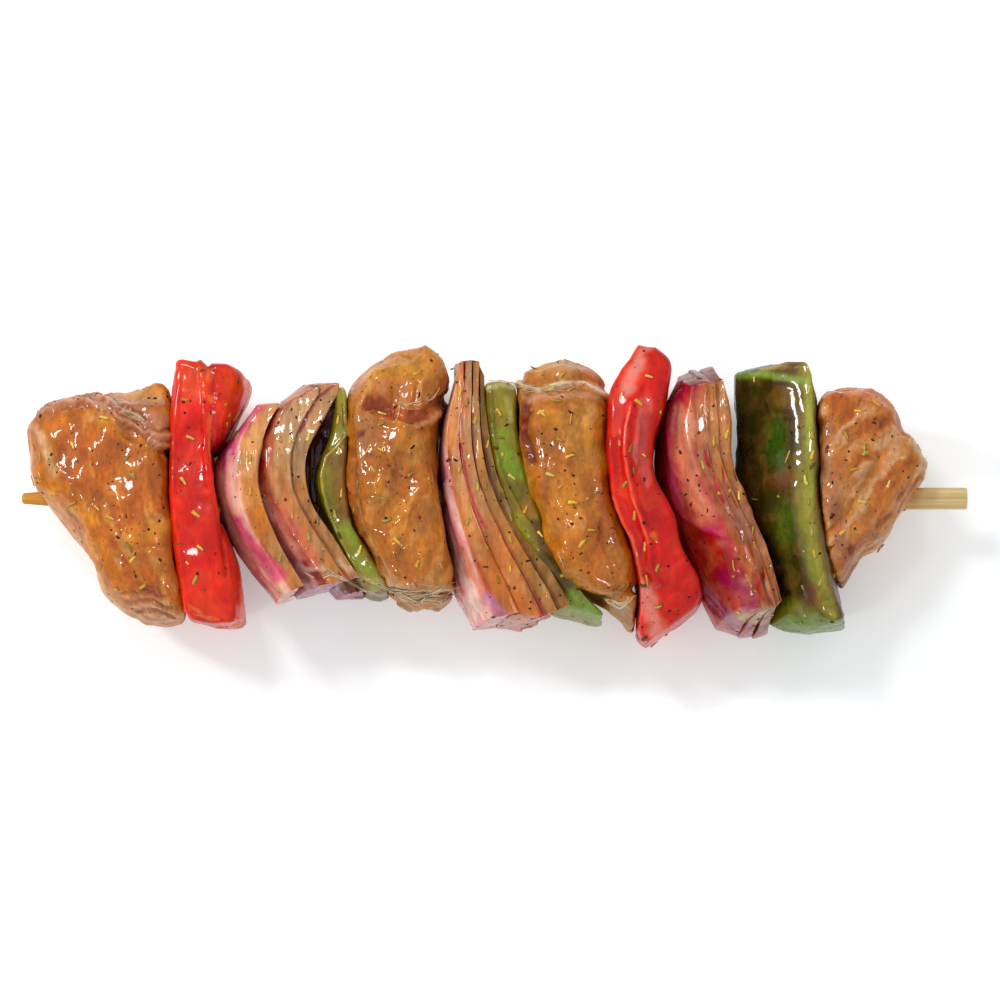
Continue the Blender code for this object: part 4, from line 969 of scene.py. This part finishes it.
slab.lay((0.38, 0.23, 0.11), 0.7 * skin * np.clip(0.45 + 0.6 * slab.noise(9, 203, (1, 2.2, 1)), 0, 1))
slab.lay((0.30, 0.44, 0.17), 0.85 * skin * slab.blob(774, 440, 12, 30, 0, 4))
slab.lay((0.32, 0.44, 0.18), 0.7 * skin * slab.line([(735, 402), (733, 440), (738, 480)], 5, 2))
slab.lay((0.36, 0.46, 0.17), 0.8 * skin * slab.blob(784, 522, 11, 26, 0, 4))
slab.lay((0.50, 0.28, 0.12), 0.65 * skin * slab.blob(778, 482, 18, 12, 0, 4))
slab.lay((0.50, 0.40, 0.18), 0.7 * skin * slab.blob(780, 398, 16, 12, 0, 4))
slab.lay((0.52, 0.54, 0.19), 0.9 * skin * slab.line([(768, 612), (790, 612), (815, 618)], 14, 3))
# Painted shade: a near-black band on the skin where it lies in shade.
slab.lay((0.20, 0.17, 0.08), 0.7 * skin * slab.line([(762, 540), (772, 570), (782, 592)], 8, 3))
slab.stroke((0.58, 0.70, 0.34), 0.85, [(738, 376), (764, 374), (806, 382)], 4.5, 1.5)
slab.stroke((0.72, 0.60, 0.24), 0.8, [(760, 368), (784, 367)], 3, 1.5)
slab.stroke((0.64, 0.68, 0.26), 0.8, [(805, 385), (807, 440), (808, 500)], 4, 1.5)
slab.lay((0.66, 0.54, 0.28), 0.85 * slab.top * slab.line([(818, 480), (824, 540), (834, 600)], 7, 2))
slab.stroke((0.54, 0.58, 0.22), 0.7, [(800, 520), (808, 565), (824, 600)], 4, 2)
slab.lay((0.44, 0.58, 0.20), 0.85 * slab.facing((0, -1, 0), 0.4, 0.8))
slab.spot((0.50, 0.30, 0.13), 0.6, 812, 592, 8, 10, 0.4, 3)
slab.build("green_pepper_slab_3", green_flesh, "green_pepper", "green_pepper_3")

# Fourth chicken chunk, at the sawn end
# A flatter chunk whose muscle fibres run slantwise; orange at the back, pinkish brown
# along the pepper and at the front.
CHICKEN_4_RIGHT = [(-13, 82.7, 0), (-3.5, 87, 0), (2, 90.2, 0.3), (5.5, 91.7, 0.6), (9.5, 90.6, 0.6),
                   (14.5, 87.2, 0.3), (20, 86.6, 0.3)]
chunk = Food(GREEN_3_RIGHT, CHICKEN_4_RIGHT, [-19.5, -15.4, -11, -9.2],
             [20.5, 21.8, 21.4, 18], [(-20, 31), (0, 34), (21, 33)], CHICKEN_ROUNDING,
             tilt=-2.5, crown=1.2, end_swell=1.5, tuck=4, lift=3, free_right=6,
             lump=CHICKEN_LUMP, seed=5.6, cells=(84, 110, 44))
strands = chunk.streaks(1.7, 11, -0.7, 211) + 0.5 * chunk.streaks(0.9, 7, -0.6, 212)
chunk.push(0.4 * chunk.noise(6, 213) + 0.22 * strands)
chunk.lay((0.83, 0.54, 0.28))
chunk.spot((0.81, 0.45, 0.16), 0.7, 860, 405, 40, 24, 0.1, 6)
chunk.lay((0.70, 0.40, 0.22), 0.5 * np.clip(chunk.noise(5, 214), 0, 1))
chunk.lay((0.90, 0.70, 0.52), 0.85 * np.clip(1.5 * strands - 0.1, 0, 1))
chunk.lay((0.64, 0.32, 0.15), 0.7 * np.clip(-1.3 * strands - 0.2, 0, 1))
chunk.stroke((0.82, 0.42, 0.13), 0.6, [(830, 400), (860, 392), (890, 408)], 12, 4)
chunk.stroke((0.68, 0.44, 0.34), 0.7, [(824, 430), (828, 500), (840, 560), (848, 590)], 8, 4)
chunk.spot((0.64, 0.37, 0.24), 0.6, 854, 575, 14, 16, 0, 4)
chunk.spot((0.45, 0.18, 0.10), 0.8, 847, 550, 4, 6, 0, 1.5)
chunk.stroke((0.90, 0.72, 0.50), 0.8, [(912, 440), (920, 458), (922, 474)], 5, 2)
chunk.push(0.5 * chunk.line([(916, 456), (922, 466), (920, 476)], 4, 1.5))
chunk.stroke((0.90, 0.76, 0.64), 0.6, [(816, 394), (832, 390)], 2, 1)
chunk.build("chicken_chunk_4", chicken_flesh, "raw_chicken", "chicken_4")

# Spices and herbs stuck in the marinade
# Cracked black pepper, red chilli bits and dried herbs, scattered over every face that
# shows. The larger pale herb flakes include those of the CAD part, at their places.
FLAKE_COUNTS = [9, 6, 3, 4, 3, 2, 5, 10, 4, 3, 3, 2, 6, 9, 8, 5, 3, 3, 8, 7]
FLAKE_LENGTH = 1.9
FLAKE_WIDTH = 0.75


def open_places(count, seed):
    """Random places on the faces that show, with the direction that each face looks in."""
    rng = np.random.default_rng(seed)
    middles, ups, weights = [], [], []
    for piece in FOODS:
        a, b, c, d = (piece.surface[piece.faces[:, k]] for k in range(4))
        normal = np.cross(c - a, d - b) / 2
        area = np.maximum(np.linalg.norm(normal, axis=1), 1e-9)
        normal /= area[:, None]
        t = rng.uniform(size=(len(a), 2, 1))
        near, far = a + (b - a) * t[:, 0], d + (c - d) * t[:, 0]
        middle = near + (far - near) * t[:, 1]
        outward = np.abs(normal[:, 0]) * ((middle[:, 0] * normal[:, 0] > 0)
                                          & (np.abs(middle[:, 0]) > 72))
        show = np.clip(normal[:, 2], 0, 1) + 0.6 * np.abs(normal[:, 1]) ** 2 + 0.6 * outward
        show = show * (middle[:, 2] > 2)
        middles.append(middle)
        ups.append(normal)
        weights.append(area * show)
    middles, ups, weights = np.concatenate(middles), np.concatenate(ups), np.concatenate(weights)
    chosen = rng.choice(len(weights), count, p=weights / weights.sum())
    return middles[chosen], ups[chosen]


def set_down(shape, place, up, turn, sunk):
    """Points of a small shape set down on a surface and turned on it."""
    flat = np.array([math.cos(turn), math.sin(turn), 0.13])
    wide = np.cross(up, flat)
    wide /= np.linalg.norm(wide)
    return place + shape @ np.array([np.cross(wide, up), wide, up]) - up * sunk


def plain_chip():
    """Points and faces of an even crumb with twenty faces."""
    made = bmesh.new()
    bmesh.ops.create_icosphere(made, subdivisions=1, radius=1.0)
    made.verts.index_update()
    points = np.array([tuple(corner.co) for corner in made.verts])
    faces = np.array([[corner.index for corner in face.verts] for face in made.faces])
    made.free()
    return points, faces


CHIP_POINTS, CHIP_FACES = plain_chip()


def chip(rng, size, stretch, thick):
    """Irregular crumb with twenty faces."""
    points = CHIP_POINTS * rng.uniform(0.65, 1.15, (len(CHIP_POINTS), 1)) * size / 2
    return points * [stretch, 1, thick], CHIP_FACES


def shred(rng, length, width):
    """Dried herb shred: a thin strip, bent, and narrower at one end."""
    along_it = np.linspace(-0.5, 0.5, 5)
    bend = rng.uniform(-0.3, 0.3)
    lift = rng.uniform(-0.05, 0.18)
    rows = []
    for x in along_it:
        half = width / 2 * (1 - 0.5 * (x + 0.5) ** 2) * rng.uniform(0.8, 1.1)
        y = bend * length * (x * x)
        z = lift * length * (x + 0.5)
        rows += [(x * length, y - half, z), (x * length, y + half, z),
                 (x * length, y + half * 0.7, z + 0.3), (x * length, y - half * 0.7, z + 0.3)]
    faces = []
    for k in range(0, 16, 4):
        for a, b in ((0, 1), (1, 2), (2, 3), (3, 0)):
            faces += [(k + b, k + a, k + a + 4), (k + b, k + a + 4, k + b + 4)]
    faces += [(0, 1, 2), (0, 2, 3), (18, 17, 16), (19, 18, 16)]
    return np.array(rows), np.array(faces)


def joined(name, shapes, material):
    """One object of many small shapes, each with its own colour."""
    points, faces, colours, start = [], [], [], 0
    for shape, shape_faces, colour in shapes:
        points.append(shape)
        faces.append(shape_faces + start)
        colours.append(np.tile(colour, (len(shape), 1)))
        start += len(shape)
    mesh = new_mesh(name, np.concatenate(points), np.concatenate(faces), np.concatenate(colours))
    return new_object(name, mesh, material)


def spice_material():
    """Dried herb or spice, softened and made glossy by the marinade."""
    made, tree, shader = new_material("wet_spice")
    paint = add_node(tree, "Attribute", attribute_name="paint").outputs["Color"]
    place = add_node(tree, "TexCoord").outputs["Object"]
    grain = add_node(tree, "TexNoise", {"Vector": place, "Scale": 3000.0, "Detail": 2.0}).outputs[0]
    shade = add_node(tree, "MapRange", {"Value": grain, "From Min": 0.3, "From Max": 0.7,
                                        "To Min": 0.7, "To Max": 1.25}).outputs[0]
    mixed = add_node(tree, "VectorMath", {0: paint, 1: shade}, operation="MULTIPLY").outputs[0]
    bump = add_node(tree, "Bump", {"Height": grain, "Strength": 0.6, "Distance": 0.00008})
    rough = add_node(tree, "MapRange", {"Value": grain, "To Min": 0.35, "To Max": 0.6}).outputs[0]
    tree.links.new(mixed, shader.inputs["Base Color"])
    tree.links.new(bump.outputs[0], shader.inputs["Normal"])
    tree.links.new(rough, shader.inputs["Roughness"])
    shader.inputs["Specular IOR Level"].default_value = 0.2
    shader.inputs["Coat Weight"].default_value = 0.15
    shader.inputs["Coat Roughness"].default_value = 0.1
    return made


wet_spice = spice_material()


def crumbs(name, count, seed, sizes, stretch, thick, colours):
    """Scatter of one kind of crumb."""
    rng = np.random.default_rng(seed)
    shapes = []
    for place, up in zip(*open_places(count, seed)):
        size = sizes[0] + (sizes[1] - sizes[0]) * rng.uniform() ** 3
        points, faces = chip(rng, size, rng.uniform(*stretch), thick)
        points = set_down(points, place, up, rng.uniform(0, math.tau), 0.1 * size)
        colour = np.array(colours[rng.integers(len(colours))]) * rng.uniform(0.85, 1.15)
        shapes.append((points, faces, colour))
    return joined(name, shapes, wet_spice)


crumbs("pepper_specks", 3000, 301, (0.2, 0.95), (0.9, 2.0), 0.45,
       [(0.20, 0.09, 0.05), (0.32, 0.15, 0.08), (0.46, 0.24, 0.12), (0.26, 0.14, 0.10)])
crumbs("chilli_bits", 170, 302, (0.3, 0.9), (1.0, 1.9), 0.45,
       [(0.70, 0.14, 0.07), (0.80, 0.30, 0.10), (0.52, 0.15, 0.09)])
crumbs("herb_bits", 420, 303, (0.25, 1.2), (1.2, 3.4), 0.35,
       [(0.44, 0.34, 0.16), (0.36, 0.34, 0.20), (0.56, 0.44, 0.18), (0.32, 0.24, 0.16)])


def herb_flakes():
    """Pale herb shreds: those that the CAD part has, and smaller ones between them."""
    rng = np.random.default_rng(310)
    tones = [(0.95, 0.82, 0.42), (0.92, 0.74, 0.32), (0.84, 0.76, 0.38), (0.95, 0.74, 0.30),
             (0.72, 0.60, 0.32)]
    shapes = []
    for order, (piece, count) in enumerate(zip(FOODS, FLAKE_COUNTS)):
        draw = random.Random(100 + order)
        for number in range(count):
            s = -0.84 + 1.68 * (number + draw.uniform(0.2, 0.8)) / count
            u = draw.uniform(-0.5, 0.5)
            turn = draw.uniform(-1.2, 1.2) if piece.half[0] > 3 else draw.uniform(1.2, 1.9)
            size = draw.uniform(0.8, 1.15)
            aim, flat = piece.bend(np.array([[u, s, 1.0]]))
            spot = np.argmin(np.linalg.norm(piece.surface - aim, axis=1))
            points, faces = shred(rng, FLAKE_LENGTH * size, FLAKE_WIDTH * size)
            points = set_down(points, piece.surface[spot], piece.up[spot], turn, 0.05)
            shapes.append((points, faces, np.array(tones[rng.integers(5)]) * rng.uniform(0.85, 1.1)))
    for place, up in zip(*open_places(190, 311)):
        length = 0.6 + 2.3 * rng.uniform() ** 2
        points, faces = shred(rng, length, rng.uniform(0.3, 0.62))
        points = set_down(points, place, up, rng.uniform(0, math.tau), 0.05)
        shapes.append((points, faces, np.array(tones[rng.integers(5)]) * rng.uniform(0.8, 1.1)))
    joined("herb_flakes", shapes, wet_spice)


herb_flakes()

# Pale membranes on the chicken
# Thin glossy strands of fat and skin, torn when the meat was cut. They lie in lacy groups
# on the folds and fringes, stuck down by the marinade.
STRAND_SIDES = 6
LACE = [
    ([(352, 566), (370, 580), (392, 590), (415, 594), (440, 590), (462, 582)], 7),
    ([(385, 588), (400, 596), (420, 602), (440, 598), (458, 590)], 6),
    ([(300, 568), (318, 574), (330, 570), (345, 578), (360, 586), (376, 592)], 5),
    ([(484, 384), (500, 382), (514, 384), (528, 391), (540, 392), (556, 388), (584, 388), (606, 397)], 6),
    ([(594, 590), (606, 600), (618, 604), (630, 598), (638, 590)], 6),
    ([(396, 396), (408, 408), (420, 406), (432, 400), (444, 384)], 3),
    ([(404, 400), (400, 414), (393, 430)], 1),
    ([(104, 404), (130, 414), (150, 425), (168, 434)], 4),
    ([(820, 396), (834, 392), (850, 393)], 1),
    ([(566, 546), (559, 557), (567, 574), (578, 588)], 2),
]


def top_heights():
    """Height of the highest food over each pixel of the photo."""
    heights = np.zeros((PHOTO_PIXELS, PHOTO_PIXELS))
    for piece in FOODS:
        x, y, z = piece.surface.T
        column, row = on_photo(x, y, z)
        np.maximum.at(heights, (row.astype(int), column.astype(int)), z)
    for axis in (0, 1):
        heights = np.maximum(heights, np.maximum(np.roll(heights, 1, axis), np.roll(heights, -1, axis)))
    return heights


def strand(path, heights, rng):
    """Strand that follows a path on the photo with a wander of its own, and its faces."""
    path = np.array(path, float)
    reach = np.concatenate([[0], np.cumsum(np.linalg.norm(np.diff(path, axis=0), axis=1))])
    steps = np.linspace(*np.sort(rng.uniform(0, reach[-1] * 0.35, 1)), reach[-1] * rng.uniform(0.65, 1), 60)
    sway = rng.uniform(-3, 3) + 2 * np.sin(steps * rng.uniform(0.08, 0.25) + rng.uniform(0, 6))
    column = np.interp(steps, reach, path[:, 0]) + 0.4 * sway
    row = np.interp(steps, reach, path[:, 1]) + sway
    z = heights[row.astype(int), column.astype(int)]
    z = np.convolve(np.pad(z, 3, mode="edge"), np.ones(7) / 7, "valid")
    back = ((MIDDLE_ROW - row) * PHOTO_MM - HEIGHT_SHARE * (z - STICK_HEIGHT)) / PLAN_SHARE
    middle = np.stack([(column - MIDDLE_COLUMN) * PHOTO_MM, back, z], 1)
    girth = rng.uniform(0.06, 0.2) * np.sin(np.linspace(0.15, math.pi - 0.15, 60)) ** 0.5
    ahead = np.gradient(middle, axis=0)
    ahead /= np.linalg.norm(ahead, axis=1, keepdims=True)
    across = np.cross(ahead, [0, 0, 1])
    across /= np.linalg.norm(across, axis=1, keepdims=True)
    angles = np.arange(STRAND_SIDES) * math.tau / STRAND_SIDES
    ring = (across[:, None] * np.cos(angles)[:, None]
            + np.cross(across, ahead)[:, None] * np.sin(angles)[:, None])
    points = (middle[:, None] + ring * girth[:, None, None]).reshape(-1, 3)
    a = (np.arange(59)[:, None] * STRAND_SIDES + np.arange(STRAND_SIDES)).ravel()
    b = (np.arange(59)[:, None] * STRAND_SIDES + (np.arange(STRAND_SIDES) + 1) % STRAND_SIDES).ravel()
    faces = np.concatenate([np.stack([a, b, b + STRAND_SIDES], 1),
                            np.stack([a, b + STRAND_SIDES, a + STRAND_SIDES], 1)])
    return points, faces


def membranes():
    """All the strands as one piece."""
    rng = np.random.default_rng(330)
    heights = top_heights()
    fat = wet_material("pale_fat", warm=(0.86, 0.62, 0.36), warm_share=0.5, lump=2.0, lump_depth=0.05,
                       fine=0.6, fine_depth=0.03, stretch=(1, 1, 1), roughness=(0.25, 0.4),
                       under=(1.0, 0.8, 0.6), under_share=0.4, dust_share=0.02)
    shapes = []
    for path, count in LACE:
        for _ in range(count):
            points, faces = strand(path, heights, rng)
            shapes.append((points, faces, np.array((0.90, 0.78, 0.62)) * rng.uniform(0.9, 1.05)))
    joined("membrane_strands", shapes, fat)


membranes()

# Floor, light and camera
# A white table top; a soft light above and behind, a long soft light at the left, a small
# one in front and even light from all round. The camera looks almost straight down.
floor_mesh = bpy.data.meshes.new("floor")
floor_mesh.from_pydata([(-3, -3, 0), (3, -3, 0), (3, 3, 0), (-3, 3, 0)], [], [(0, 1, 2, 3)])
floor = bpy.data.objects.new("floor", floor_mesh)
bpy.context.scene.collection.objects.link(floor)
white, tree, shader = new_material("white_table")
shader.inputs["Base Color"].default_value = (0.88, 0.92, 0.93, 1)
shader.inputs["Emission Color"].default_value = (0.95, 0.98, 1.0, 1)
shader.inputs["Emission Strength"].default_value = 0.26
shader.inputs["Roughness"].default_value = 0.9
shader.inputs["Specular IOR Level"].default_value = 0.1
floor_mesh.materials.append(white)


def soft_light(name, place, aim, across, down, power, colour):
    """Rectangular soft light that faces a point."""
    data = bpy.data.lights.new(name, "AREA")
    data.shape = "RECTANGLE"
    data.size = across
    data.size_y = down
    data.energy = power
    data.color = colour
    made = bpy.data.objects.new(name, data)
    made.location = place
    made.rotation_euler = (Vector(aim) - Vector(place)).to_track_quat("-Z", "Y").to_euler()
    bpy.context.scene.collection.objects.link(made)


soft_light("light_above", (-0.3, 0.45, 1.0), (0, 0, 0.02), 0.17, 0.15, 2.8, (1.0, 0.99, 0.98))
soft_light("light_left", (-0.74, 0.3, 0.72), (0, 0, 0.02), 0.12, 0.24, 3.6, (1.0, 1.0, 1.0))
soft_light("light_front", (-0.42, -0.46, 0.86), (0, 0, 0.02), 0.08, 0.08, 0.85, (1.0, 1.0, 1.0))
world = bpy.data.worlds.new("room")
world.use_nodes = True
sky = world.node_tree
toward = add_node(sky, "SeparateXYZ", {0: add_node(sky, "TexCoord").outputs["Generated"]})
level = add_node(sky, "MapRange", {"Value": toward.outputs["Z"], "From Min": 0.05, "From Max": 0.8,
                                   "To Min": 0.46, "To Max": 0.74})
sky.links.new(level.outputs[0], sky.nodes["Background"].inputs[1])
sky.nodes["Background"].inputs[0].default_value = (1, 1, 1, 1)
bpy.context.scene.world = world
bpy.context.scene.view_settings.view_transform = "Standard"

camera_data = bpy.data.cameras.new("camera")
camera_data.sensor_width = 36.0
camera_data.lens = 334.9
camera_data.clip_start = 0.1
camera_data.clip_end = 20.0
camera = bpy.data.objects.new("camera", camera_data)
aim = Vector((0.00118, -0.00032, 0.018))
rise = math.radians(83)
camera.location = aim + Vector((0, -math.cos(rise), math.sin(rise))) * 2.0
camera.rotation_euler = (aim - camera.location).to_track_quat("-Z", "Y").to_euler()
bpy.context.scene.collection.objects.link(camera)
bpy.context.scene.camera = camera
